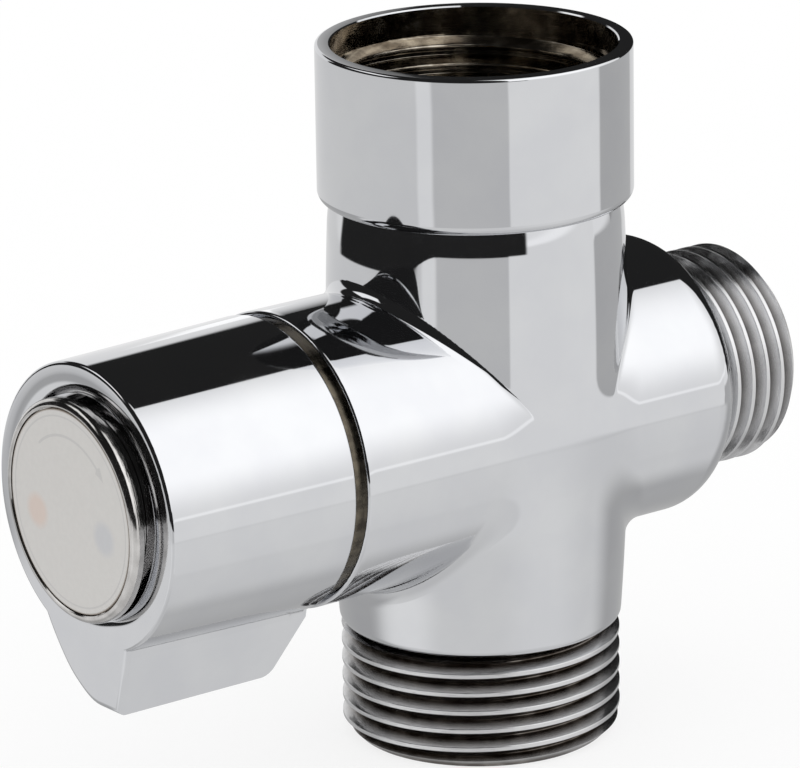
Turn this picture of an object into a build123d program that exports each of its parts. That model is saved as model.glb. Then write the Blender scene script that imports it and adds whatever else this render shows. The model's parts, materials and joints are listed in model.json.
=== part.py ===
from build123d import *
import os
from math import asin, cos, radians, sin, sqrt, tan

os.makedirs("parts", exist_ok=True)

# The valve stands on its bottom outlet. +Z goes up the main pipe, whose end face is at z = 0,
# and the cross pipe lies along X: handle at -X, side outlet at +X. All sizes are in millimetres.

# Pipe threads, drawn as plain cylinders at their largest radius
MAIN_THREAD_R = 13.22           # G 3/4, inlet and bottom outlet
SIDE_THREAD_R = 10.48           # G 1/2, side outlet
THREAD_DEPTH = 1.16
THREAD_END_CHAMFER = 1.28
RUNOUT_WIDTH = 0.8

# Main pipe
CROSS_Z = 31.3                  # height of the cross pipe's axis
FOOT_Z = 11.1                   # shoulder above the bottom thread
FOOT_R = 13.4
FOOT_ROUNDING = 0.9
WAIST_PROUD = 0.2               # how far the pipe stands out beside the arms
NECK_R = 13.94
NECK_LENGTH = 7.1               # from the top of the arms to the collar
NECK_TAPER_LENGTH = 3.0         # just below the collar, where polishing took more off
NECK_TAPER = 0.18

# Inlet collar
COLLAR_WALL = 1.58              # outside the thread
COLLAR_HEIGHT = 14.8
COLLAR_ROUNDING = 0.9
RIM_CHAMFER = 0.25
RIM_BEVEL = 0.6                 # inner edge of the rim
LEAD_IN_PLAY = 0.16             # wider than the thread
LEAD_IN_DEPTH = 2.6
INLET_THREAD_LENGTH = 7.4

# Cross pipe
CARTRIDGE_ARM_R = 14.0
CARTRIDGE_ARM_REACH = 23.7
CARTRIDGE_ARM_EDGE = 0.3
SIDE_ARM_R = 13.54
SIDE_ARM_REACH = 21.9
SIDE_ARM_ROUNDING = 3.6
SIDE_REACH = 31.4
UPPER_CREASE_FILLET = 1.2
LOWER_CREASE_FILLET = 2.6

# Waterways
INLET_BORE_R = 8.5
BOTTOM_BORE_R = 9.5
SIDE_BORE_R = 7.2
BORE_CORNER = 1.2               # drill cone at the bottom bore's end
CHAMBER_R = 11.0
MOUTH_BEVEL = 0.5
SEAT_REACH = 11.5               # where the chamber ends, towards the side outlet
PORT_WALL = 4.5                 # metal between the chamber and each upright bore
PORT_WIDTH = 6.4
PORT_LENGTH = 13.0
INLET_PORT_X = -4.9
OUTLET_PORT_X = 5.6

# Inlet washer and strainer
WASHER_R = 12.0
WASHER_HOLE_R = 8.9
WASHER_THICK = 2.0
WASHER_POCKET_PLAY = 0.3
WASHER_SET_DOWN = 0.2           # below the thread's last turn
STRAINER_R = 11.6
STRAINER_THICK = 0.4
STRAINER_DOME_PLAY = 0.5        # from the washer's hole
STRAINER_DOME_HEIGHT = 1.6
STRAINER_HOLE_R = 0.75
STRAINER_PITCH = 2.25
STRAINER_RINGS = 3

# Bonnet that closes the chamber and carries the spindle
FLANGE_R = 13.2
FLANGE_THICK = 0.95
HEX_FLATS = 18.0
HEX_LENGTH = 5.5
NOSE_R = 6.2
NOSE_LENGTH = 1.6
NOSE_BEVEL = 0.3
BONNET_THREAD_LENGTH = 10.5
BONNET_FIT = 0.05
POCKET_R = 8.4                  # pocket for the spindle's flange
POCKET_DEPTH = 3.7

# Round sealing rings
SEAL_R = 0.7                    # half a ring's thickness
SEAL_PLAY = 0.04
GROOVE_WIDTH = 1.9
BONNET_SEAL_INSET = 2.2
SPINDLE_SEAL_INSET = 3.0
SPINDLE_SEAL_SPACING = 3.6

# Spindle
JOURNAL_R = 4.4
RUN_GAP = 0.05
SPINDLE_FLANGE_R = 7.6
SPINDLE_FLANGE_THICK = 2.4
THRUST_WASHER_THICK = 0.6
THRUST_WASHER_PLAY = 0.2
CIRCLIP_THICK = 0.8
CIRCLIP_R = 5.7
CIRCLIP_OPENING = 70.0          # degrees
CIRCLIP_GROOVE_DEPTH = 0.5
CIRCLIP_PLAY = 0.1
SPLINE_TEETH = 20
SPLINE_R = 3.95
SPLINE_DEPTH = 0.5
SPLINE_PITCH_SHARE = 0.7        # how much of a tooth's pitch its foot takes
SPLINE_FIT = 0.06
SPLINE_LENGTH = 6.0
TANG_THICK = 4.0
TANG_WIDTH = 13.0
TANG_FIT = 0.1
TANG_ENGAGEMENT = 1.5

# Cartridge: cage, two ceramic discs and their seals
CAGE_FIT = 0.15
CAGE_WAIST_R = 9.8
CUP_R = 8.55
CAGE_RIM_LENGTH = 1.5
LAND_WIDTH = 5.0                # band that carries the cage's seal
LAND_SHELF = 1.0                # the cup's floor stands this far inside the band
PASSAGE_END = 1.6               # closes the bottom outlet's passage
DISC_PLAY = 0.15
DISC_GAP = 0.02
MOVING_DISC_THICK = 3.2
FIXED_DISC_THICK = 3.0
PORT_SEAL_THICK = 1.2
GASKET_THICK = 1.0
GASKET_PLAY = 0.3
PORT_R = 7.0
PORT_BRIDGE = 2.4               # wall between the two ports
PORT_CORNER = 0.8
SLOT_WALL = 0.5                 # between the moving disc's slot and its opening
KEY_WIDTH = 1.8
KEY_HEIGHT = 0.9
INLET_WINDOW_COUNT = 4
INLET_WINDOW_WIDTH = 7.5
INLET_WINDOW_LENGTH = 3.8
OUTLET_WINDOW_WIDTH = 5.6
OUTLET_WINDOW_LENGTH = 5.6

# Handle
HANDLE_GAP = 0.3                # from the bonnet's flange
HANDLE_LENGTH = 20.3
HANDLE_REAR_R = 13.95
HANDLE_FRONT_R = 13.5
HANDLE_WALL = 1.7
HANDLE_EDGE = 0.35
DISH_DEPTH = 1.15
BOSS_R = 10.5
BOSS_HEIGHT = 0.95
BOSS_SLANT = 2.0                # degrees: the boss was faced a little out of square
BOSS_MARGIN = 0.5
RECESS_WALL = 1.2
RECESS_DEPTH = 4.65
HUB_R = 6.3
HUB_FLOOR = 1.2
WEB_THICK = 2.2
HUB_CLEAR = 0.5

# Lever under the handle: distances down from the cross axis, and across it
LEVER_REACH = 19.0
LEVER_TIP_LENGTH = 16.9
LEVER_REAR_REACH = 13.4
LEVER_CORNER_ROUNDING = 2.5
LEVER_ROOT_DROP = 9.6
LEVER_ROOT_Y = 8.3
LEVER_FLANK_DROP = 13.9
LEVER_FLANK_Y = 5.6
LEVER_LOW_DROP = 17.25
LEVER_LOW_Y = 2.6
LEVER_NOSE_Y = -1.2
LEVER_HEEL_Y = -4.4
LEVER_HEEL_ROUNDING = 0.7
LEVER_FRONT_ROUNDING = 1.2
LEVER_CREASE_FILLET = 0.5
LEVER_FACE_Y = -6.6
LEVER_FACE_DROP = 9.6

# Index cap and plate
CAP_R = 10.45
CAP_STANDOFF = 0.65             # dark gap between the boss and the cap
CAP_THICK = 1.75
CAP_EDGE = 0.45
CAP_FIT = 0.08
CAP_SKIRT_LENGTH = 3.6
CAP_SKIRT_WALL = 1.4
PLATE_R = 9.3
PLATE_PLAY = 0.1
PLATE_THICK = 0.5
PLATE_SET_BACK = 0.08

# Handle screw and its washer
SCREW_R = 2.0
SCREW_FIT = 0.05
SCREW_HOLE_PLAY = 0.25
SCREW_HEAD_R = 3.6
SCREW_HEAD_HEIGHT = 2.3
SCREW_HEAD_ROUNDING = 0.7
SCREW_LENGTH = 10.0
SCREW_END_PLAY = 0.5
SLOT_LENGTH = 4.4
SLOT_WIDTH = 1.0
SLOT_DEPTH = 1.4
SCREW_WASHER_R = 4.4
SCREW_WASHER_THICK = 0.8

# Heights up the main pipe
collar_z = CROSS_Z + CARTRIDGE_ARM_R + NECK_LENGTH
neck_taper_z = collar_z - NECK_TAPER_LENGTH
height = collar_z + COLLAR_HEIGHT
lead_in_z = height - LEAD_IN_DEPTH
inlet_thread_z = lead_in_z - INLET_THREAD_LENGTH
shelf_z = inlet_thread_z - WASHER_SET_DOWN - WASHER_THICK - STRAINER_THICK
strainer_top_z = shelf_z + STRAINER_THICK
inlet_floor_z = CROSS_Z + CHAMBER_R + PORT_WALL
bottom_bore_top_z = CROSS_Z - CHAMBER_R - PORT_WALL
washer_pocket_r = WASHER_R + WASHER_POCKET_PLAY
waist_r = CARTRIDGE_ARM_R + WAIST_PROUD
collar_r = MAIN_THREAD_R + COLLAR_WALL
lead_in_r = MAIN_THREAD_R + LEAD_IN_PLAY

# Places along the cross pipe, from its crossing with the main pipe
arm_end_x = -CARTRIDGE_ARM_REACH
hex_x = arm_end_x - FLANGE_THICK
nose_x = hex_x - HEX_LENGTH
bonnet_front_x = nose_x - NOSE_LENGTH
bonnet_rear_x = arm_end_x + BONNET_THREAD_LENGTH
pocket_x = bonnet_rear_x - POCKET_DEPTH
bonnet_seal_x = arm_end_x + BONNET_SEAL_INSET
bonnet_r = CHAMBER_R - BONNET_FIT
journal_bore_r = JOURNAL_R + RUN_GAP

circlip_x = bonnet_front_x - CIRCLIP_PLAY - CIRCLIP_THICK
spline_x = circlip_x - HUB_CLEAR
spindle_front_x = spline_x - SPLINE_LENGTH
front_seal_x = bonnet_front_x + SPINDLE_SEAL_INSET
rear_seal_x = front_seal_x + SPINDLE_SEAL_SPACING
flange_front_x = pocket_x + THRUST_WASHER_THICK + RUN_GAP
flange_rear_x = flange_front_x + SPINDLE_FLANGE_THICK

cage_front_x = bonnet_rear_x
cage_rear_x = SEAT_REACH - GASKET_THICK
passage_end_x = cage_rear_x - PASSAGE_END
cup_floor_x = LAND_SHELF - LAND_WIDTH / 2
port_seal_x = cup_floor_x - PORT_SEAL_THICK
fixed_disc_x = port_seal_x - FIXED_DISC_THICK
moving_disc_x = fixed_disc_x - DISC_GAP - MOVING_DISC_THICK
tang_end_x = moving_disc_x + TANG_ENGAGEMENT
tang_slot = TANG_THICK + 2 * TANG_FIT
disc_r = CUP_R - DISC_PLAY
cage_land_r = CHAMBER_R - CAGE_FIT

# Sealing rings and their grooves
chamber_seal_r = CHAMBER_R - SEAL_R - SEAL_PLAY
chamber_groove_r = chamber_seal_r - SEAL_R - SEAL_PLAY
spindle_seal_r = JOURNAL_R - SEAL_R
spindle_groove_r = spindle_seal_r - SEAL_R - SEAL_PLAY

# Places along the handle
handle_rear_x = hex_x - HANDLE_GAP
handle_front_x = handle_rear_x - HANDLE_LENGTH
dish_x = handle_front_x + DISH_DEPTH
boss_x = dish_x - BOSS_HEIGHT
boss_lip_x = boss_x - BOSS_R * tan(radians(BOSS_SLANT))
face_round_r = HANDLE_FRONT_R - HANDLE_EDGE
face_arc_r = (DISH_DEPTH**2 + (face_round_r - BOSS_R) ** 2) / (2 * DISH_DEPTH)
face_arc_angle = asin((face_round_r - BOSS_R) / face_arc_r)
recess_r = BOSS_R - RECESS_WALL
recess_x = boss_x + RECESS_DEPTH
hub_bore_x = recess_x + HUB_FLOOR
web_rear_x = recess_x + WEB_THICK
hub_rear_x = spline_x - HUB_CLEAR
screw_head_x = recess_x - SCREW_WASHER_THICK
screw_hole_end_x = screw_head_x + SCREW_LENGTH + SCREW_END_PLAY
cap_rear_x = boss_x - CAP_STANDOFF
cap_front_x = cap_rear_x - CAP_THICK
cap_skirt_r = recess_r - CAP_FIT
plate_front_x = cap_front_x + PLATE_SET_BACK
plate_rear_x = plate_front_x + PLATE_THICK

CROSS_AXIS = Axis((0, 0, CROSS_Z), (1, 0, 0))
CROSS_PLANE = Plane(origin=(0, 0, CROSS_Z), x_dir=(1, 0, 0), z_dir=(0, -1, 0))
boss_face_plane = Plane(
    origin=(boss_x, 0, CROSS_Z),
    x_dir=(0, 1, 0),
    z_dir=(-cos(radians(BOSS_SLANT)), 0, sin(radians(BOSS_SLANT))),
)


def across(x):
    """Plane square to the cross pipe at x: sketches see +Y to the right and +Z up, and grow to +X."""
    return Plane(origin=(x, 0, CROSS_Z), x_dir=(0, 1, 0), z_dir=(1, 0, 0))


def forging(crease, keep):
    """Outside of the forged pipe and arms, above or below the cross axis, with its creases rounded."""
    shoulder_r = SIDE_ARM_R - SIDE_ARM_ROUNDING
    round_x = SIDE_ARM_REACH - SIDE_ARM_ROUNDING
    middle = SIDE_ARM_ROUNDING * sin(radians(45))
    foot_middle = FOOT_ROUNDING * (1 - sin(radians(45)))
    with BuildPart() as blank:
        with BuildSketch(Plane.XZ):
            with BuildLine():
                Polyline((0, collar_z), (0, FOOT_Z), (FOOT_R - FOOT_ROUNDING, FOOT_Z))
                ThreePointArc(
                    (FOOT_R - FOOT_ROUNDING, FOOT_Z),
                    (FOOT_R - foot_middle, FOOT_Z + foot_middle),
                    (FOOT_R, FOOT_Z + FOOT_ROUNDING),
                )
                barrel = ThreePointArc(
                    (FOOT_R, FOOT_Z + FOOT_ROUNDING), (waist_r, CROSS_Z), (NECK_R, neck_taper_z)
                )
                neck_top = (NECK_R - NECK_TAPER, collar_z)
                TangentArc((NECK_R, neck_taper_z), neck_top, tangent=barrel % 1)
                Line(neck_top, (0, collar_z))
            make_face()
        revolve(axis=Axis.Z)
        with BuildSketch(CROSS_PLANE):
            with BuildLine():
                Polyline((0, 0), (0, SIDE_ARM_R), (round_x, SIDE_ARM_R))
                ThreePointArc(
                    (round_x, SIDE_ARM_R),
                    (round_x + middle, shoulder_r + middle),
                    (SIDE_ARM_REACH, shoulder_r),
                )
                Polyline((SIDE_ARM_REACH, shoulder_r), (SIDE_ARM_REACH, 0), (0, 0))
            make_face()
        revolve(axis=CROSS_AXIS)
        with BuildSketch(CROSS_PLANE):
            with BuildLine():
                Polyline(
                    (0, 0),
                    (arm_end_x, 0),
                    (arm_end_x, CARTRIDGE_ARM_R - CARTRIDGE_ARM_EDGE),
                    (arm_end_x + CARTRIDGE_ARM_EDGE, CARTRIDGE_ARM_R),
                    (0, CARTRIDGE_ARM_R),
                    close=True,
                )
            make_face()
        revolve(axis=CROSS_AXIS)
        fillet(blank.edges().filter_by(GeomType.BSPLINE), crease)
        split(bisect_by=Plane.XY.offset(CROSS_Z), keep=keep)
    return blank.part


def sealing_ring(x, ring_r):
    """Round sealing ring about the cross axis."""
    with BuildPart() as ring:
        with BuildSketch(CROSS_PLANE):
            with Locations((x, ring_r)):
                Circle(SEAL_R)
        revolve(axis=CROSS_AXIS)
    return ring.part


def flat_ring(x, thick, hole_r, outer_r):
    """Flat washer about the cross axis, from x on towards +X."""
    with BuildPart() as ring:
        with BuildSketch(across(x)):
            Circle(outer_r)
            Circle(hole_r, mode=Mode.SUBTRACT)
        extrude(amount=thick)
    return ring.part


def d_port(chord):
    """D-shaped opening to the right of its chord, with rounded corners."""
    with BuildSketch() as outline:
        Circle(PORT_R)
        with Locations((chord + PORT_R, 0)):
            Rectangle(2 * PORT_R, 2 * PORT_R, mode=Mode.INTERSECT)
        fillet(outline.vertices(), PORT_CORNER)
    return outline.sketch


def serrations(grow):
    """Section of the splined end, grown all round by the play that the handle's bore needs."""
    root_r = SPLINE_R - SPLINE_DEPTH
    base = SPLINE_PITCH_SHARE * root_r * sin(radians(360 / SPLINE_TEETH))
    with BuildSketch() as outline:
        Circle(root_r + grow)
        with PolarLocations(0, SPLINE_TEETH):
            Polygon(
                (root_r / 2, base / 2 + grow),
                (root_r / 2, -base / 2 - grow),
                (root_r, -base / 2 - grow),
                (SPLINE_R + grow, -base / 4 - grow),
                (SPLINE_R + grow, base / 4 + grow),
                (root_r, base / 2 + grow),
                align=None,
            )
    return outline.sketch


# Main casting: one brass forging with the upright pipe, both arms, the collar and the threads.
upper_forging = forging(UPPER_CREASE_FILLET, Keep.TOP)
lower_forging = forging(LOWER_CREASE_FILLET, Keep.BOTTOM)
with BuildPart() as valve_body:
    add(upper_forging)
    add(lower_forging)

    # Inlet collar, turned after forging
    collar_middle = COLLAR_ROUNDING * (1 - sin(radians(45)))
    with BuildSketch(Plane.XZ):
        with BuildLine():
            Line((0, collar_z), (collar_r - COLLAR_ROUNDING, collar_z))
            ThreePointArc(
                (collar_r - COLLAR_ROUNDING, collar_z),
                (collar_r - collar_middle, collar_z + collar_middle),
                (collar_r, collar_z + COLLAR_ROUNDING),
            )
            Polyline(
                (collar_r, collar_z + COLLAR_ROUNDING),
                (collar_r, height - RIM_CHAMFER),
                (collar_r - RIM_CHAMFER, height),
                (0, height),
                (0, collar_z),
            )
        make_face()
    revolve(axis=Axis.Z)

    # Bottom thread with its end chamfer and run-out groove
    with BuildSketch(Plane.XZ):
        with BuildLine():
            Polyline(
                (0, 0),
                (MAIN_THREAD_R - THREAD_END_CHAMFER, 0),
                (MAIN_THREAD_R, THREAD_END_CHAMFER),
                (MAIN_THREAD_R, FOOT_Z - RUNOUT_WIDTH),
                (MAIN_THREAD_R - THREAD_DEPTH, FOOT_Z - RUNOUT_WIDTH),
                (MAIN_THREAD_R - THREAD_DEPTH, FOOT_Z),
                (0, FOOT_Z),
                close=True,
            )
        make_face()
    revolve(axis=Axis.Z)

    # Side thread, the same at its own size
    with BuildSketch(CROSS_PLANE):
        with BuildLine():
            Polyline(
                (SIDE_ARM_REACH, 0),
                (SIDE_ARM_REACH, SIDE_THREAD_R - THREAD_DEPTH),
                (SIDE_ARM_REACH + RUNOUT_WIDTH, SIDE_THREAD_R - THREAD_DEPTH),
                (SIDE_ARM_REACH + RUNOUT_WIDTH, SIDE_THREAD_R),
                (SIDE_REACH - THREAD_END_CHAMFER, SIDE_THREAD_R),
                (SIDE_REACH, SIDE_THREAD_R - THREAD_END_CHAMFER),
                (SIDE_REACH, 0),
                close=True,
            )
        make_face()
    revolve(axis=CROSS_AXIS)

    # Inside of the inlet: lead-in, thread, washer pocket and waterway
    with BuildSketch(Plane.XZ):
        with BuildLine():
            Polyline(
                (0, inlet_floor_z),
                (INLET_BORE_R, inlet_floor_z),
                (INLET_BORE_R, shelf_z),
                (washer_pocket_r, shelf_z),
                (washer_pocket_r, inlet_thread_z),
                (MAIN_THREAD_R, inlet_thread_z),
                (MAIN_THREAD_R, lead_in_z),
                (lead_in_r, lead_in_z),
                (lead_in_r, height - RIM_BEVEL),
                (lead_in_r + RIM_BEVEL, height),
                (0, height),
                close=True,
            )
        make_face()
    revolve(axis=Axis.Z, mode=Mode.SUBTRACT)

    # Bottom waterway
    with BuildSketch(Plane.XZ):
        with BuildLine():
            Polyline(
                (0, 0),
                (BOTTOM_BORE_R, 0),
                (BOTTOM_BORE_R, bottom_bore_top_z - BORE_CORNER),
                (BOTTOM_BORE_R - BORE_CORNER, bottom_bore_top_z),
                (0, bottom_bore_top_z),
                close=True,
            )
        make_face()
    revolve(axis=Axis.Z, mode=Mode.SUBTRACT)

    # Cartridge chamber, open at the handle side, and the side waterway beyond its seat
    with BuildSketch(CROSS_PLANE):
        with BuildLine():
            Polyline(
                (arm_end_x, 0),
                (arm_end_x, CHAMBER_R + MOUTH_BEVEL),
                (arm_end_x + MOUTH_BEVEL, CHAMBER_R),
                (SEAT_REACH, CHAMBER_R),
                (SEAT_REACH, SIDE_BORE_R),
                (SIDE_REACH, SIDE_BORE_R),
                (SIDE_REACH, 0),
                close=True,
            )
        make_face()
    revolve(axis=CROSS_AXIS, mode=Mode.SUBTRACT)

    # Oblong ports from the upright bores into the chamber
    with BuildSketch(Plane.XY.offset(inlet_floor_z)):
        with Locations((INLET_PORT_X, 0)):
            SlotOverall(PORT_LENGTH, PORT_WIDTH, rotation=90)
    extrude(amount=CROSS_Z - inlet_floor_z, mode=Mode.SUBTRACT)
    with BuildSketch(Plane.XY.offset(bottom_bore_top_z)):
        with Locations((OUTLET_PORT_X, 0)):
            SlotOverall(PORT_LENGTH, PORT_WIDTH, rotation=90)
    extrude(amount=CROSS_Z - bottom_bore_top_z, mode=Mode.SUBTRACT)

valve_body.part.label = "valve_body"
export_step(valve_body.part, "parts/valve_body.step")

# Strainer: pressed from thin stainless sheet, domed and pierced, its rim flat on the shelf.
dome_r = WASHER_HOLE_R - STRAINER_DOME_PLAY
dome_sphere_r = (dome_r**2 + STRAINER_DOME_HEIGHT**2) / (2 * STRAINER_DOME_HEIGHT)
dome_middle_rise = (
    STRAINER_DOME_HEIGHT - dome_sphere_r + sqrt(dome_sphere_r**2 - (dome_r / 2) ** 2)
)
with BuildPart() as inlet_strainer:
    with BuildSketch(Plane.XZ):
        with BuildLine():
            Polyline((dome_r, shelf_z), (STRAINER_R, shelf_z), (STRAINER_R, strainer_top_z))
            Line((STRAINER_R, strainer_top_z), (dome_r, strainer_top_z))
            ThreePointArc(
                (dome_r, strainer_top_z),
                (dome_r / 2, strainer_top_z + dome_middle_rise),
                (0, strainer_top_z + STRAINER_DOME_HEIGHT),
            )
            Line(
                (0, strainer_top_z + STRAINER_DOME_HEIGHT), (0, shelf_z + STRAINER_DOME_HEIGHT)
            )
            ThreePointArc(
                (0, shelf_z + STRAINER_DOME_HEIGHT),
                (dome_r / 2, shelf_z + dome_middle_rise),
                (dome_r, shelf_z),
            )
        make_face()
    revolve(axis=Axis.Z)
    with BuildSketch(Plane.XY.offset(shelf_z)):
        Circle(STRAINER_HOLE_R)
        for ring in range(1, STRAINER_RINGS + 1):
            with PolarLocations(ring * STRAINER_PITCH, 6 * ring):
                Circle(STRAINER_HOLE_R)
    extrude(amount=2 * STRAINER_DOME_HEIGHT, mode=Mode.SUBTRACT)
inlet_strainer.part.label = "inlet_strainer"
export_step(inlet_strainer.part, "parts/inlet_strainer.step")

# Inlet washer: flat rubber ring that seals the pipe above against the shelf.
with BuildPart() as inlet_washer:
    with BuildSketch(Plane.XY.offset(strainer_top_z)):
        Circle(WASHER_R)
        Circle(WASHER_HOLE_R, mode=Mode.SUBTRACT)
    extrude(amount=WASHER_THICK)
inlet_washer.part.label = "inlet_washer"
export_step(inlet_washer.part, "parts/inlet_washer.step")

# Bonnet: turned brass plug with a hexagon, screwed into the cartridge arm. Only its flange shows.
with BuildPart() as bonnet:
    with BuildSketch(CROSS_PLANE):
        with BuildLine():
            Polyline(
                (bonnet_front_x, journal_bore_r),
                (bonnet_front_x, NOSE_R - NOSE_BEVEL),
                (bonnet_front_x + NOSE_BEVEL, NOSE_R),
                (hex_x, NOSE_R),
                (hex_x, FLANGE_R),
                (arm_end_x, FLANGE_R),
                (arm_end_x, bonnet_r),
                (bonnet_seal_x - GROOVE_WIDTH / 2, bonnet_r),
                (bonnet_seal_x - GROOVE_WIDTH / 2, chamber_groove_r),
                (bonnet_seal_x + GROOVE_WIDTH / 2, chamber_groove_r),
                (bonnet_seal_x + GROOVE_WIDTH / 2, bonnet_r),
                (bonnet_rear_x, bonnet_r),
                (bonnet_rear_x, POCKET_R),
                (pocket_x, POCKET_R),
                (pocket_x, journal_bore_r),
                close=True,
            )
        make_face()
    revolve(axis=CROSS_AXIS)
    with BuildSketch(across(nose_x)):
        RegularPolygon(HEX_FLATS / 2, 6, major_radius=False)
        Circle(journal_bore_r, mode=Mode.SUBTRACT)
    extrude(amount=HEX_LENGTH)
bonnet.part.label = "bonnet"
export_step(bonnet.part, "parts/bonnet.step")

bonnet_seal = sealing_ring(bonnet_seal_x, chamber_seal_r)
bonnet_seal.label = "bonnet_seal"
export_step(bonnet_seal, "parts/bonnet_seal.step")

# Thrust washer: slippery plastic ring that the spindle's flange turns against.
thrust_washer = flat_ring(
    pocket_x, THRUST_WASHER_THICK, JOURNAL_R + THRUST_WASHER_PLAY, POCKET_R - THRUST_WASHER_PLAY
)
thrust_washer.label = "thrust_washer"
export_step(thrust_washer, "parts/thrust_washer.step")

# Spindle: turned brass, splined for the handle, with a flat tang that drives the moving disc.
with BuildPart() as spindle:
    with BuildSketch(CROSS_PLANE):
        with BuildLine():
            Polyline(
                (spline_x, 0),
                (spline_x, JOURNAL_R),
                (circlip_x, JOURNAL_R),
                (circlip_x, JOURNAL_R - CIRCLIP_GROOVE_DEPTH),
                (circlip_x + CIRCLIP_THICK + CIRCLIP_PLAY / 2, JOURNAL_R - CIRCLIP_GROOVE_DEPTH),
                (circlip_x + CIRCLIP_THICK + CIRCLIP_PLAY / 2, JOURNAL_R),
                (front_seal_x - GROOVE_WIDTH / 2, JOURNAL_R),
                (front_seal_x - GROOVE_WIDTH / 2, spindle_groove_r),
                (front_seal_x + GROOVE_WIDTH / 2, spindle_groove_r),
                (front_seal_x + GROOVE_WIDTH / 2, JOURNAL_R),
                (rear_seal_x - GROOVE_WIDTH / 2, JOURNAL_R),
                (rear_seal_x - GROOVE_WIDTH / 2, spindle_groove_r),
                (rear_seal_x + GROOVE_WIDTH / 2, spindle_groove_r),
                (rear_seal_x + GROOVE_WIDTH / 2, JOURNAL_R),
                (flange_front_x, JOURNAL_R),
                (flange_front_x, SPINDLE_FLANGE_R),
                (flange_rear_x, SPINDLE_FLANGE_R),
                (flange_rear_x, 0),
                close=True,
            )
        make_face()
    revolve(axis=CROSS_AXIS)
    with BuildSketch(across(spindle_front_x)):
        add(serrations(0))
    extrude(amount=SPLINE_LENGTH)
    with BuildSketch(across(flange_rear_x)):
        Rectangle(TANG_WIDTH, TANG_THICK)
    extrude(amount=tang_end_x - flange_rear_x)
    with BuildSketch(across(spindle_front_x)):
        Circle(SCREW_R)
    extrude(amount=screw_hole_end_x - spindle_front_x, mode=Mode.SUBTRACT)
spindle.part.label = "spindle"
export_step(spindle.part, "parts/spindle.step")

spindle_seal_front = sealing_ring(front_seal_x, spindle_seal_r)
spindle_seal_front.label = "spindle_seal_front"
export_step(spindle_seal_front, "parts/spindle_seal_front.step")

spindle_seal_rear = sealing_ring(rear_seal_x, spindle_seal_r)
spindle_seal_rear.label = "spindle_seal_rear"
export_step(spindle_seal_rear, "parts/spindle_seal_rear.step")

# Circlip: open spring ring in the spindle's groove, in front of the bonnet's nose.
with BuildPart() as spindle_circlip:
    with BuildSketch(across(circlip_x)):
        Circle(CIRCLIP_R)
        Circle(JOURNAL_R - CIRCLIP_GROOVE_DEPTH + CIRCLIP_PLAY / 2, mode=Mode.SUBTRACT)
        with BuildLine():
            gap_half = CIRCLIP_R * sin(radians(CIRCLIP_OPENING / 2))
            gap_end = 2 * CIRCLIP_R * cos(radians(CIRCLIP_OPENING / 2))
            Polyline((0, 0), (-2 * gap_half, gap_end), (2 * gap_half, gap_end), close=True)
        make_face(mode=Mode.SUBTRACT)
    extrude(amount=CIRCLIP_THICK)
spindle_circlip.part.label = "spindle_circlip"
export_step(spindle_circlip.part, "parts/spindle_circlip.step")

# Cartridge cage: moulded sleeve that holds both discs and leads the water to the two outlets.
with BuildPart() as cartridge_cage:
    with BuildSketch(CROSS_PLANE):
        with BuildLine():
            Polyline(
                (cage_front_x, CUP_R),
                (cage_front_x, cage_land_r),
                (cage_front_x + CAGE_RIM_LENGTH, cage_land_r),
                (cage_front_x + CAGE_RIM_LENGTH, CAGE_WAIST_R),
                (-LAND_WIDTH / 2, CAGE_WAIST_R),
                (-LAND_WIDTH / 2, cage_land_r),
                (-GROOVE_WIDTH / 2, cage_land_r),
                (-GROOVE_WIDTH / 2, chamber_groove_r),
                (GROOVE_WIDTH / 2, chamber_groove_r),
                (GROOVE_WIDTH / 2, cage_land_r),
                (LAND_WIDTH / 2, cage_land_r),
                (LAND_WIDTH / 2, CAGE_WAIST_R),
                (passage_end_x, CAGE_WAIST_R),
                (passage_end_x, cage_land_r),
                (cage_rear_x, cage_land_r),
                (cage_rear_x, 0),
                (cup_floor_x, 0),
                (cup_floor_x, CUP_R),
                close=True,
            )
        make_face()
    revolve(axis=CROSS_AXIS)
    # Keys that stop the fixed disc from turning
    with BuildSketch(across(fixed_disc_x + DISC_PLAY)):
        with PolarLocations(CUP_R, 2, start_angle=90):
            Rectangle(2 * KEY_HEIGHT, KEY_WIDTH)
        Circle(CUP_R + DISC_PLAY, mode=Mode.INTERSECT)
    extrude(amount=cup_floor_x - fixed_disc_x - DISC_PLAY)
    # Windows that let the water in round the moving disc
    with BuildSketch(across(cage_front_x + CAGE_RIM_LENGTH)):
        with PolarLocations((CUP_R + CAGE_WAIST_R) / 2, INLET_WINDOW_COUNT, start_angle=45):
            Rectangle(2 * (CAGE_WAIST_R - CUP_R), INLET_WINDOW_WIDTH)
    extrude(amount=INLET_WINDOW_LENGTH, mode=Mode.SUBTRACT)
    # Passage to the side outlet, open at the rear, and the blind one to the bottom outlet
    with BuildSketch(across(cup_floor_x)):
        add(d_port(PORT_BRIDGE / 2), rotation=180)
    extrude(amount=cage_rear_x - cup_floor_x, mode=Mode.SUBTRACT)
    with BuildSketch(across(cup_floor_x)):
        add(d_port(PORT_BRIDGE / 2))
    extrude(amount=passage_end_x - cup_floor_x, mode=Mode.SUBTRACT)
    with BuildSketch(Plane.XY.offset(CROSS_Z - CAGE_WAIST_R)):
        with Locations((OUTLET_PORT_X, PORT_BRIDGE / 2 + OUTLET_WINDOW_WIDTH / 2)):
            Rectangle(OUTLET_WINDOW_LENGTH, OUTLET_WINDOW_WIDTH)
    extrude(amount=CAGE_WAIST_R - PORT_R / 2, mode=Mode.SUBTRACT)
cartridge_cage.part.label = "cartridge_cage"
export_step(cartridge_cage.part, "parts/cartridge_cage.step")

cage_seal = sealing_ring(0, chamber_seal_r)
cage_seal.label = "cage_seal"
export_step(cage_seal, "parts/cage_seal.step")

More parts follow.
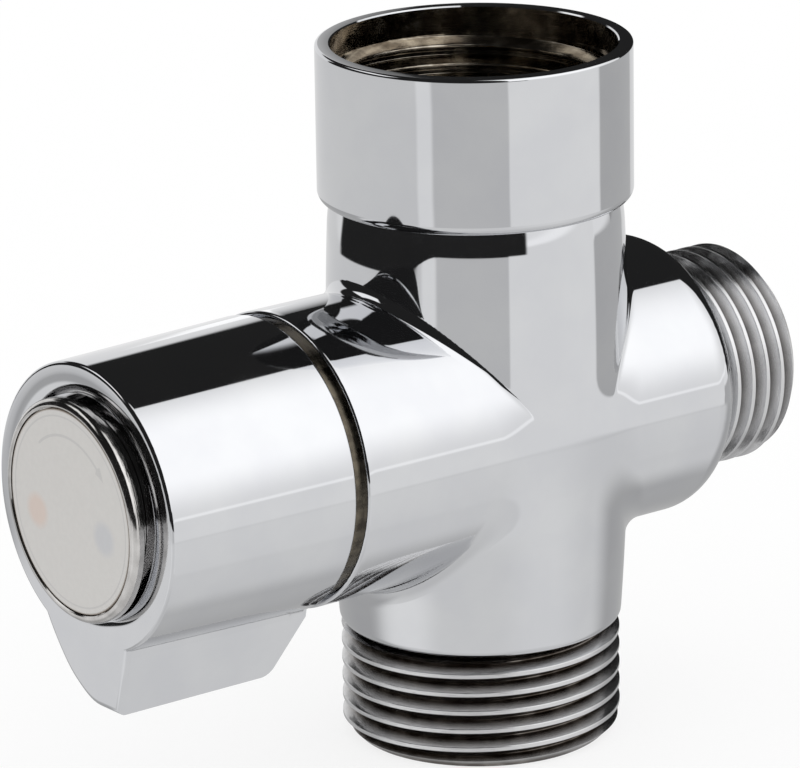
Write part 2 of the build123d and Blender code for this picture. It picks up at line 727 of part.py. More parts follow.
# Seat gasket: rubber ring between the cage's rear face and the seat of the side waterway.
seat_gasket = flat_ring(
    cage_rear_x, GASKET_THICK, SIDE_BORE_R + GASKET_PLAY, CHAMBER_R - GASKET_PLAY
)
seat_gasket.label = "seat_gasket"
export_step(seat_gasket, "parts/seat_gasket.step")


def port_plate(x, thick, outer_r):
    """Round plate with the two D ports and the notches for the cage's keys."""
    with BuildPart() as plate:
        with BuildSketch(across(x)):
            Circle(outer_r)
            add(d_port(PORT_BRIDGE / 2), mode=Mode.SUBTRACT)
            add(d_port(PORT_BRIDGE / 2), rotation=180, mode=Mode.SUBTRACT)
            with PolarLocations(CUP_R, 2, start_angle=90):
                Rectangle(2 * (KEY_HEIGHT + DISC_PLAY), KEY_WIDTH + 2 * DISC_PLAY, mode=Mode.SUBTRACT)
        extrude(amount=thick)
    return plate.part


# Port seal: rubber plate under the fixed disc, with the same two ports.
port_seal = port_plate(port_seal_x, PORT_SEAL_THICK, CUP_R - DISC_PLAY)
port_seal.label = "port_seal"
export_step(port_seal, "parts/port_seal.step")

# Fixed disc: lapped ceramic, one port to each outlet.
fixed_disc = port_plate(fixed_disc_x, FIXED_DISC_THICK, disc_r)
fixed_disc.label = "fixed_disc"
export_step(fixed_disc, "parts/fixed_disc.step")

# Moving disc: lapped ceramic with one opening, at the lever's side, and a slot for the tang.
with BuildPart() as moving_disc:
    with BuildSketch(across(moving_disc_x)):
        Circle(disc_r)
        add(d_port(tang_slot / 2 + SLOT_WALL), rotation=-90, mode=Mode.SUBTRACT)
    extrude(amount=MOVING_DISC_THICK)
    with BuildSketch(across(moving_disc_x)):
        Rectangle(2 * disc_r, tang_slot)
    extrude(amount=TANG_ENGAGEMENT + TANG_FIT, mode=Mode.SUBTRACT)
moving_disc.part.label = "moving_disc"
export_step(moving_disc.part, "parts/moving_disc.step")

# Lever blank: its section is a curved flank, a narrow tip and a flat face, cut to length behind.
with BuildPart() as lever_blank:
    with BuildSketch(across(handle_front_x)) as lever_section:
        with BuildLine():
            Spline(
                (LEVER_ROOT_Y, -LEVER_ROOT_DROP),
                (LEVER_FLANK_Y, -LEVER_FLANK_DROP),
                (LEVER_LOW_Y, -LEVER_LOW_DROP),
                (LEVER_NOSE_Y, -LEVER_REACH),
                tangents=((LEVER_FLANK_Y - LEVER_ROOT_Y, LEVER_ROOT_DROP - LEVER_FLANK_DROP), (-1, 0)),
            )
            Polyline(
                (LEVER_NOSE_Y, -LEVER_REACH),
                (LEVER_HEEL_Y, -LEVER_REACH),
                (LEVER_FACE_Y, -LEVER_FACE_DROP),
                (LEVER_ROOT_Y, -LEVER_ROOT_DROP),
            )
        make_face()
        heel = lever_section.vertices().sort_by(Axis.Y)[:2].sort_by(Axis.X)[0]
        fillet(heel, LEVER_HEEL_ROUNDING)
    extrude(amount=handle_rear_x - handle_front_x)
    with BuildSketch(CROSS_PLANE) as lever_side:
        with BuildLine():
            Polyline(
                (handle_front_x, 0),
                (handle_front_x, -LEVER_REACH),
                (handle_front_x + LEVER_TIP_LENGTH, -LEVER_REACH),
                (handle_rear_x, -LEVER_REAR_REACH),
                (handle_rear_x, 0),
                close=True,
            )
        make_face()
        corner = lever_side.vertices().sort_by(Axis.Y)[:2].sort_by(Axis.X)[-1]
        fillet(corner, LEVER_CORNER_ROUNDING)
    extrude(amount=2 * LEVER_REACH, both=True, mode=Mode.INTERSECT)
    front_edges = lever_blank.faces().sort_by(Axis.X)[0].edges()
    flank_edge = front_edges.filter_by(GeomType.BSPLINE)
    fillet(flank_edge, LEVER_FRONT_ROUNDING)

# Handle: one zinc casting, a cup with a hub inside, a boss on its face and the lever below.
with BuildPart() as lever_handle:
    with BuildSketch(CROSS_PLANE):
        with BuildLine():
            Polyline(
                (boss_lip_x, 0),
                (handle_rear_x, 0),
                (handle_rear_x, HANDLE_REAR_R - HANDLE_EDGE),
                (handle_rear_x - HANDLE_EDGE, HANDLE_REAR_R),
                (handle_front_x + HANDLE_EDGE, HANDLE_FRONT_R),
                (handle_front_x, HANDLE_FRONT_R - HANDLE_EDGE),
                (handle_front_x, BOSS_R),
                (boss_lip_x, BOSS_R),
                close=True,
            )
        make_face()
    revolve(axis=CROSS_AXIS)
    add(lever_blank.part)
    creases = [
        lever_handle.edges().filter_by(curve).sort_by(SortBy.LENGTH)[-1]
        for curve in (GeomType.HYPERBOLA, GeomType.BSPLINE)
    ]
    fillet(creases, LEVER_CREASE_FILLET)
    # The face rounds inwards to the foot of the boss
    with BuildSketch(CROSS_PLANE):
        with BuildLine():
            Polyline(
                (handle_front_x, face_round_r),
                (handle_front_x - BOSS_HEIGHT, face_round_r),
                (handle_front_x - BOSS_HEIGHT, BOSS_R),
                (dish_x, BOSS_R),
            )
            ThreePointArc(
                (dish_x, BOSS_R),
                (
                    handle_front_x + face_arc_r * (1 - cos(face_arc_angle / 2)),
                    face_round_r - face_arc_r * sin(face_arc_angle / 2),
                ),
                (handle_front_x, face_round_r),
            )
        make_face()
    revolve(axis=CROSS_AXIS, mode=Mode.SUBTRACT)
    # The boss's face, out of square
    with BuildSketch(boss_face_plane):
        Circle(BOSS_R + BOSS_MARGIN)
    extrude(amount=BOSS_HEIGHT, mode=Mode.SUBTRACT)
    # Recess for the cap, and the screw's hole in its floor
    with BuildSketch(across(boss_lip_x)):
        Circle(recess_r)
    extrude(amount=recess_x - boss_lip_x, mode=Mode.SUBTRACT)
    with BuildSketch(across(recess_x)):
        Circle(SCREW_R + SCREW_HOLE_PLAY)
    extrude(amount=HUB_FLOOR, mode=Mode.SUBTRACT)
    # Hollow behind the web, round the hub
    with BuildSketch(CROSS_PLANE):
        with BuildLine():
            Polyline(
                (web_rear_x, HUB_R),
                (hub_rear_x, HUB_R),
                (hub_rear_x, 0),
                (handle_rear_x, 0),
                (handle_rear_x, HANDLE_REAR_R - HANDLE_WALL),
                (web_rear_x, HANDLE_FRONT_R - HANDLE_WALL),
                close=True,
            )
        make_face()
    revolve(axis=CROSS_AXIS, mode=Mode.SUBTRACT)
    with BuildSketch(across(hub_bore_x)):
        add(serrations(SPLINE_FIT))
    extrude(amount=hub_rear_x - hub_bore_x, mode=Mode.SUBTRACT)
lever_handle.part.label = "lever_handle"
export_step(lever_handle.part, "parts/lever_handle.step")

# Screw washer, between the screw's head and the recess floor.
screw_washer = flat_ring(
    screw_head_x, SCREW_WASHER_THICK, SCREW_R + SCREW_HOLE_PLAY, SCREW_WASHER_R
)
screw_washer.label = "screw_washer"
export_step(screw_washer, "parts/screw_washer.step")

# Handle screw: stainless, rounded head with a cross slot, into the spindle's end.
with BuildPart() as handle_screw:
    with BuildSketch(across(screw_head_x)):
        Circle(SCREW_HEAD_R)
    extrude(amount=-SCREW_HEAD_HEIGHT)
    fillet(handle_screw.edges().sort_by(Axis.X)[0], SCREW_HEAD_ROUNDING)
    with BuildSketch(across(screw_head_x)):
        Circle(SCREW_R - SCREW_FIT)
    extrude(amount=SCREW_LENGTH)
    with BuildSketch(across(screw_head_x - SCREW_HEAD_HEIGHT)):
        Rectangle(SLOT_LENGTH, SLOT_WIDTH)
        Rectangle(SLOT_WIDTH, SLOT_LENGTH)
    extrude(amount=SLOT_DEPTH, mode=Mode.SUBTRACT)
handle_screw.part.label = "handle_screw"
export_step(handle_screw.part, "parts/handle_screw.step")

# Index cap: turned and plated, its skirt pushed into the handle's recess over the screw.
cap_edge_middle = CAP_EDGE * (1 - sin(radians(45)))
with BuildPart() as index_cap:
    with BuildSketch(CROSS_PLANE):
        with BuildLine():
            Polyline(
                (plate_rear_x, 0),
                (plate_rear_x, PLATE_R + PLATE_PLAY),
                (cap_front_x, PLATE_R + PLATE_PLAY),
                (cap_front_x, CAP_R - CAP_EDGE),
            )
            ThreePointArc(
                (cap_front_x, CAP_R - CAP_EDGE),
                (cap_front_x + cap_edge_middle, CAP_R - cap_edge_middle),
                (cap_front_x + CAP_EDGE, CAP_R),
            )
            Polyline(
                (cap_front_x + CAP_EDGE, CAP_R),
                (cap_rear_x, CAP_R),
                (cap_rear_x, cap_skirt_r),
                (cap_rear_x + CAP_SKIRT_LENGTH, cap_skirt_r),
                (cap_rear_x + CAP_SKIRT_LENGTH, cap_skirt_r - CAP_SKIRT_WALL),
                (cap_rear_x, cap_skirt_r - CAP_SKIRT_WALL),
                (cap_rear_x, 0),
                (plate_rear_x, 0),
            )
        make_face()
    revolve(axis=CROSS_AXIS)
index_cap.part.label = "index_cap"
export_step(index_cap.part, "parts/index_cap.step")

# Index plate: thin printed disc, laid in the cap's face.
with BuildPart() as index_plate:
    with BuildSketch(across(plate_front_x)):
        Circle(PLATE_R)
    extrude(amount=PLATE_THICK)
index_plate.part.label = "index_plate"
export_step(index_plate.part, "parts/index_plate.step")
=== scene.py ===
import json
from math import atan2, cos, degrees, hypot, pi, radians, sin

import bmesh
import bpy
import numpy as np
from mathutils import Matrix, Vector


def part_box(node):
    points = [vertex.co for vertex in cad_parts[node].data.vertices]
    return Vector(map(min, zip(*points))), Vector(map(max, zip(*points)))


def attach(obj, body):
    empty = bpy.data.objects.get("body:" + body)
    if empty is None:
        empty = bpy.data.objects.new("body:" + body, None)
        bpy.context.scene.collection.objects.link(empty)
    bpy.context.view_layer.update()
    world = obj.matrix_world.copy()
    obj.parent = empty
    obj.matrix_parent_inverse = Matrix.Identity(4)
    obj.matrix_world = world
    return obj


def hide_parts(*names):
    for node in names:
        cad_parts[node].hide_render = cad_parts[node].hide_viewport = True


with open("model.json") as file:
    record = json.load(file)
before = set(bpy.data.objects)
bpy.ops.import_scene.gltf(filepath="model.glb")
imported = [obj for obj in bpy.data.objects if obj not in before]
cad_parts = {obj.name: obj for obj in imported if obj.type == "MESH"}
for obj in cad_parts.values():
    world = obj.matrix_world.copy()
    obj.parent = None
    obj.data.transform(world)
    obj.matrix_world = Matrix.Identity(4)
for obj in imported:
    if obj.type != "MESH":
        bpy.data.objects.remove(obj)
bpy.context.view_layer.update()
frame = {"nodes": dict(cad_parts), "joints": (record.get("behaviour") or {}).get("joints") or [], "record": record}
scene = bpy.context.scene
MM = 0.001

# Camera: a long lens at the photograph's viewing angle, from the front left and a little above, with
# the roll that the photograph has. Its place was fitted to the outlines of the collar, pipe and knob.
AIM = Vector((-7.16, 2.68, 34.70)) * MM
AZIMUTH, ELEVATION, ROLL = radians(-37.57), radians(17.24), radians(-0.883)
DISTANCE = 600 * MM
camera = bpy.data.objects.new("camera", bpy.data.cameras.new("camera"))
scene.collection.objects.link(camera)
camera.data.lens, camera.data.sensor_width = 288.1, 36
camera.data.clip_start, camera.data.clip_end = 0.01, 20
turn = Matrix.Rotation(AZIMUTH, 4, "Z") @ Matrix.Rotation(pi / 2 - ELEVATION, 4, "X")
camera.matrix_world = (
    Matrix.Translation(AIM) @ turn @ Matrix.Rotation(ROLL, 4, "Z") @ Matrix.Translation((0, 0, DISTANCE))
)
scene.camera = camera
scene.view_settings.view_transform = "Standard"

# Studio: a white table with a lit part in front, grey walls low all round, one tall soft lamp at the
# camera's right and darkness above. Glossy rays see it, and the camera sees plain white.


def linear(code):
    """A colour written as an sRGB hex value, as the renderer's linear one."""
    parts = [int(code[i : i + 2], 16) / 255 for i in (0, 2, 4)]
    return (*[c / 12.92 if c <= 0.04045 else ((c + 0.055) / 1.055) ** 2.4 for c in parts], 1.0)


def add_node(tree, kind, settings=None, **links):
    """A shader node with its settings. A link is named for its input, or i0, i1 for its place."""
    made = tree.nodes.new(kind)
    for key, value in (settings or {}).items():
        setattr(made, key, value)
    for key, value in links.items():
        socket = made.inputs[int(key[1:])] if key[1:].isdigit() else made.inputs[key.replace("_", " ")]
        if isinstance(value, bpy.types.NodeSocket):
            tree.links.new(value, socket)
        else:
            socket.default_value = value
    return made


# Each patch of the surroundings: degrees round the object (0 at the camera, + to its right) and above
# the horizon, from, to and how soft the edge is, then the brightness. A later patch lies over the
# earlier ones. They are the lamp, darkness at the sides, a pale wall, a second lamp and a strip at the
# left, the low walls, the table, and bright and dark strips below the lamp. Where none lies, it is
# as bright as plain wall.
PLAIN_WALL, DARKNESS = 1.04, 0.02
SURROUNDINGS = (
    ((14, 112, 24), (10, 70, 14), 1.52),
    ((-240, 24, 0.8), (-95, 95, 1), DARKNESS),
    ((126, 240, 0.8), (-95, 95, 1), DARKNESS),
    ((-179, -128, 2), (-12, 22, 2), 0.93),
    ((-122, -74, 2), (32, 51, 2), 1.25),
    ((-177.2, -175.8, 0.25), (2.5, 11.5, 0.4), 1.30),
    ((-240, 240, 1), (-22, -10.3, 0.7), 0.80),
    ((-31, 24, 1.5), (-22, -10.3, 0.7), 0.68),
    ((-128, -48, 3), (-12.6, -5, 0.6), DARKNESS),
    ((102, 152, 0.8), (-22, -9, 1), 0.55),
    ((-240, 240, 1), (-95, -18, 1.5), 0.50),
    ((-92, 114, 14), (-95, -18, 1.5), 0.84),
    ((-84, -44, 14), (-40, -18, 1.5), 1.00),
    ((28, 80, 20), (-40, -18, 1.5), 0.93),
    ((-240, 240, 1), (-95, -58, 14), 0.72),
    ((24, 101, 0.8), (-18, -3, 1.0), 0.98),
    ((-43, -32, 1.5), (-18, -10, 1.0), 0.98),
    ((24, 120, 0.8), (-4.2, -2.4, 0.6), 1.25),
    ((22, 38, 1.5), (-9.5, 5, 1.0), DARKNESS),
)
world = bpy.data.worlds.new("studio")
scene.world = world
world.use_nodes = True
world.cycles.sampling_method = "NONE"
world.node_tree.nodes.clear()
tree = world.node_tree
ray = add_node(tree, "ShaderNodeTexCoord").outputs["Generated"]
towards = add_node(
    tree, "ShaderNodeVectorMath", {"operation": "DOT_PRODUCT"}, i0=ray, i1=(sin(AZIMUTH), -cos(AZIMUTH), 0)
)
aside = add_node(
    tree, "ShaderNodeVectorMath", {"operation": "DOT_PRODUCT"}, i0=ray, i1=(cos(AZIMUTH), sin(AZIMUTH), 0)
)
heading = add_node(
    tree, "ShaderNodeMath", {"operation": "ARCTAN2"}, i0=aside.outputs["Value"], i1=towards.outputs["Value"]
)
upward = add_node(tree, "ShaderNodeSeparateXYZ", None, Vector=ray).outputs["Z"]
rise = add_node(tree, "ShaderNodeMath", {"operation": "ARCSINE"}, i0=upward)
heading, rise = [
    add_node(tree, "ShaderNodeMath", {"operation": "DEGREES"}, i0=angle.outputs[0]).outputs[0]
    for angle in (heading, rise)
]
light = PLAIN_WALL
for sideways, upright, brightness in SURROUNDINGS:
    inside = 1.0
    for angle, (start, end, soft) in ((heading, sideways), (rise, upright)):
        away = add_node(tree, "ShaderNodeMath", {"operation": "SUBTRACT"}, i0=angle, i1=(start + end) / 2)
        away = add_node(tree, "ShaderNodeMath", {"operation": "ABSOLUTE"}, i0=away.outputs[0])
        half = (end - start) / 2
        edge = add_node(
            tree,
            "ShaderNodeMapRange",
            {"interpolation_type": "SMOOTHSTEP"},
            Value=away.outputs[0],
            From_Min=half + soft,
            From_Max=half - soft,
        )
        inside = add_node(
            tree, "ShaderNodeMath", {"operation": "MULTIPLY"}, i0=edge.outputs[0], i1=inside
        ).outputs[0]
    light = add_node(tree, "ShaderNodeMix", None, i0=inside, i2=light, i3=brightness).outputs[0]
light_path = add_node(tree, "ShaderNodeLightPath")
seen = add_node(tree, "ShaderNodeBackground", None, Color=(1, 1, 1, 1), Strength=1.0)
plain = add_node(tree, "ShaderNodeBackground", None, Color=(1, 1, 1, 1), Strength=1.0)
mirrored = add_node(tree, "ShaderNodeBackground", None, Color=(1, 1, 1, 1), Strength=light)
mix = add_node(
    tree,
    "ShaderNodeMixShader",
    None,
    i0=light_path.outputs["Is Glossy Ray"],
    i1=plain.outputs[0],
    i2=mirrored.outputs[0],
)
mix = add_node(
    tree,
    "ShaderNodeMixShader",
    None,
    i0=light_path.outputs["Is Camera Ray"],
    i1=mix.outputs[0],
    i2=seen.outputs[0],
)
add_node(tree, "ShaderNodeOutputWorld", None, Surface=mix.outputs[0])


def new_material(name):
    """An empty material and its tree."""
    material = bpy.data.materials.new(name)
    material.use_nodes = True
    material.node_tree.nodes.clear()
    return material, material.node_tree


# White laminate table top: almost burnt out to white, with a faint shadow left under the valve. Metal
# sees the studio in its place, and one lit patch on it in front of the lever.
FLOOR_RADIUS = 1.5
SHADOW_SHARE = 0.2
LIT_PATCH, LIT_PATCH_R, LIT_PATCH_EDGE, LIT_PATCH_LIGHT = Vector((-88, 38, 0)), 34, 0.3, 0.9
floor_white, tree = new_material("white_table_laminate")
light_path = add_node(tree, "ShaderNodeLightPath")
shaded = add_node(tree, "ShaderNodeBsdfDiffuse", None, Color=(1, 1, 1, 1))
bright = add_node(tree, "ShaderNodeEmission", None, Color=(1, 1, 1, 1), Strength=1.0)
where = add_node(tree, "ShaderNodeTexCoord").outputs["Object"]
away = add_node(tree, "ShaderNodeVectorMath", {"operation": "DISTANCE"}, i0=where, i1=LIT_PATCH * MM)
lit = add_node(
    tree,
    "ShaderNodeMapRange",
    {"interpolation_type": "SMOOTHSTEP"},
    Value=away.outputs["Value"],
    From_Min=LIT_PATCH_R * (1 + LIT_PATCH_EDGE) * MM,
    From_Max=LIT_PATCH_R * (1 - LIT_PATCH_EDGE) * MM,
)
clear = add_node(tree, "ShaderNodeBsdfTransparent")
mirrored = add_node(tree, "ShaderNodeEmission", None, Color=(1, 1, 1, 1), Strength=LIT_PATCH_LIGHT)
mirrored = add_node(
    tree, "ShaderNodeMixShader", None, i0=lit.outputs[0], i1=clear.outputs[0], i2=mirrored.outputs[0]
)
washed = add_node(
    tree, "ShaderNodeMixShader", None, i0=SHADOW_SHARE, i1=bright.outputs[0], i2=shaded.outputs[0]
)
surface = add_node(
    tree,
    "ShaderNodeMixShader",
    None,
    i0=light_path.outputs["Is Glossy Ray"],
    i1=washed.outputs[0],
    i2=mirrored.outputs[0],
)
add_node(tree, "ShaderNodeOutputMaterial", None, Surface=surface.outputs[0])
mesh = bmesh.new()
bmesh.ops.create_circle(mesh, cap_ends=True, segments=64, radius=FLOOR_RADIUS)
floor = bpy.data.objects.new("floor", bpy.data.meshes.new("floor"))
mesh.to_mesh(floor.data)
mesh.free()
floor.data.materials.append(floor_white)
scene.collection.objects.link(floor)

# Valve body: one brass forging with the upright pipe and both arms, then bored, turned, threaded,
# polished by hand and chrome plated. The pipe swells a little between foot and neck, and the
# polishing has taken a little more off under the collar and in the creases.
CROSS_Z = frame["joints"][0]["pos_m"][2] / MM
mounts = {mount["name"]: mount["dims"] for mount in frame["record"]["mounts"]}
MAIN_THREAD_R = mounts["bottom_outlet"]["r_mm"]
SIDE_THREAD_R = mounts["side_outlet"]["r_mm"]
BOTTOM_BORE_R, BOTTOM_BORE_TOP = mounts["bottom_waterway"]["r_mm"], mounts["bottom_waterway"]["length_mm"]
SIDE_BORE_R = mounts["side_waterway"]["r_mm"]
body_low, body_high = [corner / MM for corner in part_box("valve_body")]
COLLAR_R, HEIGHT = body_high.y, body_high.z
ARM_END, SIDE_END = body_low.x, body_high.x
COLLAR_Z, COLLAR_ROUNDING, RIM_ROUNDING = 52.4, 0.9, 0.3
FOOT_Z, FOOT_R, FOOT_ROUNDING, BARREL_ROWS = 11.1, 13.4, 0.9, 60
WAIST_R, NECK_R, NECK_TAPER_LENGTH = 14.2, 13.94, 3.0
NECK_WEAR, NECK_WEAR_Z, NECK_WEAR_SIDE, NECK_WEAR_BEND, NECK_ROWS = 0.09, 50.1, 1.9, 0.7, 12
WEAR_FACING, WEAR_FADE = 0.8, 0.15
CARTRIDGE_ARM_R, ARM_ROUNDING = 14.0, 0.3
SIDE_ARM_R, SIDE_ARM_END, SIDE_ARM_ROUNDING = 13.54, 21.9, 3.6
ROW, PIPE_ROW, STEPS, MERGE = 0.6, 3.0, 192, 1e-4


def arc(centre, radius, start, end, count):
    """Points (along, out) of an arc about centre, its angles in degrees from the axis outwards."""
    angles = np.radians(np.linspace(start, end, count + 1))
    return [(centre[0] + radius * cos(a), centre[1] + radius * sin(a)) for a in angles]


def turned(outline, upright=True, row=ROW, pitch=0.0):
    """A solid turned from its outline of (along, radius) points, about the pipe's or the cross axis.
    Runs along the axis get a row of faces about every row, and a pitch makes it a helix."""
    made = bmesh.new()
    corners = [made.verts.new((out, 0, along)) for along, out in outline]
    edges = [made.edges.new(pair) for pair in zip(corners, corners[1:])]
    if outline[0][1] > 0 and not pitch:
        edges.append(made.edges.new((corners[-1], corners[0])))
    for edge in edges:
        run = edge.verts[1].co - edge.verts[0].co
        if abs(run.z) > abs(run.x) and run.length > row:
            bmesh.ops.subdivide_edges(made, edges=[edge], cuts=int(run.length / row))
    bmesh.ops.spin(
        made,
        geom=made.verts[:] + made.edges[:],
        cent=(0, 0, 0),
        axis=(0, 0, 1),
        dvec=(0, 0, pitch / STEPS),
        angle=2 * pi,
        steps=STEPS,
        use_merge=not pitch,
    )
    bmesh.ops.remove_doubles(made, verts=made.verts[:], dist=MERGE)
    if not upright:
        bmesh.ops.rotate(made, verts=made.verts[:], matrix=Matrix.Rotation(pi / 2, 3, "Y"))
        bmesh.ops.translate(made, verts=made.verts[:], vec=(0, 0, CROSS_Z))
    bmesh.ops.recalc_face_normals(made, faces=made.faces[:])
    return made


def combine(first, operation, second):
    """The first mesh joined with, cut by or kept inside the second."""
    blanks = []
    for made in (first, second):
        blank = bpy.data.objects.new("blank", bpy.data.meshes.new("blank"))
        made.to_mesh(blank.data)
        made.free()
        scene.collection.objects.link(blank)
        blanks.append(blank)
    boolean = blanks[0].modifiers.new("cut", "BOOLEAN")
    boolean.operation, boolean.solver, boolean.object = operation, "MANIFOLD", blanks[1]
    made = bmesh.new()
    made.from_object(blanks[0], bpy.context.evaluated_depsgraph_get())
    for blank in blanks:
        data = blank.data
        bpy.data.objects.remove(blank)
        bpy.data.meshes.remove(data)
    return made


def through(first, second, third):
    """Centre and radius of the circle through three (along, out) points."""
    (x1, y1), (x2, y2), (x3, y3) = first, second, third
    d = 2 * (x1 * (y2 - y3) + x2 * (y3 - y1) + x3 * (y1 - y2))
    s1, s2, s3 = x1 * x1 + y1 * y1, x2 * x2 + y2 * y2, x3 * x3 + y3 * y3
    cx = (s1 * (y2 - y3) + s2 * (y3 - y1) + s3 * (y1 - y2)) / d
    cy = (s1 * (x3 - x2) + s2 * (x1 - x3) + s3 * (x2 - x1)) / d
    return (cx, cy), hypot(x1 - cx, y1 - cy)


neck_z = COLLAR_Z - NECK_TAPER_LENGTH
foot_end, neck_end = (FOOT_Z + FOOT_ROUNDING, FOOT_R), (neck_z, NECK_R)
barrel_centre, barrel_arc_r = through(foot_end, (CROSS_Z, WAIST_R), neck_end)
barrel_ends = [
    degrees(atan2(out - barrel_centre[1], along - barrel_centre[0])) for along, out in (foot_end, neck_end)
]


def eased(share):
    """A share of 0 to 1 with a soft start and end, held beyond them."""
    share = np.clip(share, 0, 1)
    return share * share * (3 - 2 * share)


def neck_wear(z, heading):
    """How much polishing took off below the collar. It starts lower on the side of the handle."""
    start = NECK_WEAR_Z - NECK_WEAR_SIDE * eased((-np.cos(heading) - WEAR_FACING) / WEAR_FADE)
    past = np.maximum(z - start, 0) / NECK_WEAR_BEND
    return NECK_WEAR * NECK_WEAR_BEND * (past - 1 + np.exp(-past))


def barrel_radius(z):
    """The pipe's radius at a height, before the wear."""
    return barrel_centre[1] + np.sqrt(np.maximum(barrel_arc_r**2 - (z - barrel_centre[0]) ** 2, 1))


neck_rows = np.linspace(neck_z, COLLAR_Z, NECK_ROWS + 1)[1:]
pipe = turned(
    [(FOOT_Z, 0)]
    + arc((FOOT_Z + FOOT_ROUNDING, FOOT_R - FOOT_ROUNDING), FOOT_ROUNDING, 180, 90, 6)
    + arc(barrel_centre, barrel_arc_r, *barrel_ends, BARREL_ROWS)[1:]
    + [(z, barrel_radius(z)) for z in neck_rows]
    + arc((COLLAR_Z + COLLAR_ROUNDING, COLLAR_R - COLLAR_ROUNDING), COLLAR_ROUNDING, 180, 90, 8)
    + arc((HEIGHT - RIM_ROUNDING, COLLAR_R - RIM_ROUNDING), RIM_ROUNDING, 90, 0, 4)
    + [(HEIGHT, 0)],
    row=PIPE_ROW,
)
for vert in pipe.verts:
    out = hypot(vert.co.x, vert.co.y)
    if CROSS_Z < vert.co.z < COLLAR_Z + MERGE and 0 < out < WAIST_R + MERGE:
        share = 1 - neck_wear(vert.co.z, atan2(vert.co.y, vert.co.x)) / out
        vert.co.x, vert.co.y = vert.co.x * share, vert.co.y * share
cartridge_arm = turned(
    [(ARM_END, 0)]
    + arc((ARM_END + ARM_ROUNDING, CARTRIDGE_ARM_R - ARM_ROUNDING), ARM_ROUNDING, 180, 90, 4)
    + [(-WAIST_R - 2, CARTRIDGE_ARM_R), (0, CARTRIDGE_ARM_R), (0, 0)],
    upright=False,
)
side_arm = turned(
    [(0, 0), (0, SIDE_ARM_R)]
    + arc((SIDE_ARM_END - SIDE_ARM_ROUNDING, SIDE_ARM_R - SIDE_ARM_ROUNDING), SIDE_ARM_ROUNDING, 90, 0, 16)
    + [(SIDE_ARM_END, 0)],
    upright=False,
)
# The same outsides as functions, for the creases and the shading: a guard for divisions, the steps
# that slopes are taken over, and where along x the arms' radii change.
TINY, STEP_UP, STEP_ROUND, ARMS_CHANGE = 1e-9, 0.01, 0.001, (-2, 4)


def pipe_radius(z, heading):
    """The pipe's radius at a height, on the side that heading points to."""
    return barrel_radius(z) - neck_wear(z, heading)


def pipe_outside(points):
    """How far points lie outside the upright pipe, and the way out."""
    out = np.hypot(points[:, 0], points[:, 1]) + TINY
    z, heading = points[:, 2], np.arctan2(points[:, 1], points[:, 0])
    radius = pipe_radius(z, heading)
    slope = (pipe_radius(z + STEP_UP, heading) - pipe_radius(z - STEP_UP, heading)) / (2 * STEP_UP)
    turned_on, turned_back = pipe_radius(z, heading + STEP_ROUND), pipe_radius(z, heading - STEP_ROUND)
    swing = (turned_on - turned_back) / (2 * STEP_ROUND) / out
    cos_h, sin_h = points[:, 0] / out, points[:, 1] / out
    way = np.column_stack([cos_h + swing * sin_h, sin_h - swing * cos_h, -slope])
    steep = np.linalg.norm(way, axis=1)
    return (out - radius) / steep, way / steep[:, None]


def arms_outside(points):
    """The same for the two arms, whose radii go over into each other inside the pipe."""
    up = points[:, 2] - CROSS_Z
    out = np.hypot(points[:, 1], up) + TINY
    share = eased((points[:, 0] - ARMS_CHANGE[0]) / (ARMS_CHANGE[1] - ARMS_CHANGE[0]))
    radius = CARTRIDGE_ARM_R + (SIDE_ARM_R - CARTRIDGE_ARM_R) * share
    return out - radius, np.column_stack([0 * out, points[:, 1] / out, up / out])


# The crease between pipe and arms: a small fillet above the cross axis and a larger one below it,
# and near the axis' height polished away over a depth.
UPPER_CREASE, LOWER_CREASE, CREASE_CHANGE = 1.2, 2.6, 4
SOFT_DEPTH, SOFT_LOW, SOFT_HIGH, SOFT_FADE = 1.7, -11, 6.5, 4


def crease_softness(points):
    """Near the height of the cross axis the crease is polished away."""
    up = points[:, 2] - CROSS_Z
    return eased(np.minimum(up - SOFT_LOW, SOFT_HIGH - up) / SOFT_FADE)


def crease_radius(points):
    """The crease's fillet: small above the cross axis, larger below it."""
    share = np.clip((points[:, 2] - CROSS_Z) / CREASE_CHANGE + 0.5, 0, 1)
    return LOWER_CREASE + (UPPER_CREASE - LOWER_CREASE) * share


COSINES, BURIED, FAR_OFF, FIT_PASSES, FINE = (-0.999, 0.9995), -0.05, 1.5, 6, 0.3


def filleted(points, first, second, radius, softness):
    """How far points lie outside two joined outsides with a fillet in their crease, and the way out.
    Where softness is above 0, the crease is polished away over about that depth instead."""
    (near, way_near), (far, way_far) = first(points), second(points)
    fillet, soft = radius(points), softness(points)
    cosine = np.clip((way_near * way_far).sum(1), *COSINES)
    u, v = near - fillet, far - fillet
    a, b = (u - cosine * v) / (1 - cosine**2), (v - cosine * u) / (1 - cosine**2)
    from_centre = a[:, None] * way_near + b[:, None] * way_far
    reach = np.linalg.norm(from_centre, axis=1) + TINY
    in_fillet = (a < 0) & (b < 0)
    sharp = np.where(in_fillet, fillet - reach, np.minimum(near, far))
    plain_way = np.where((near < far)[:, None], way_near, way_far)
    sharp_way = np.where(in_fillet[:, None], -from_centre / reach[:, None], plain_way)
    share = np.clip(0.5 + 0.5 * (far - near) / SOFT_DEPTH, 0, 1)
    gentle = far + (near - far) * share - SOFT_DEPTH * share * (1 - share)
    gentle_way = way_far + (way_near - way_far) * share[:, None]
    distance = sharp + (gentle - sharp) * soft
    way = sharp_way + (gentle_way - sharp_way) * soft[:, None]
    return distance, way / np.linalg.norm(way, axis=1)[:, None]


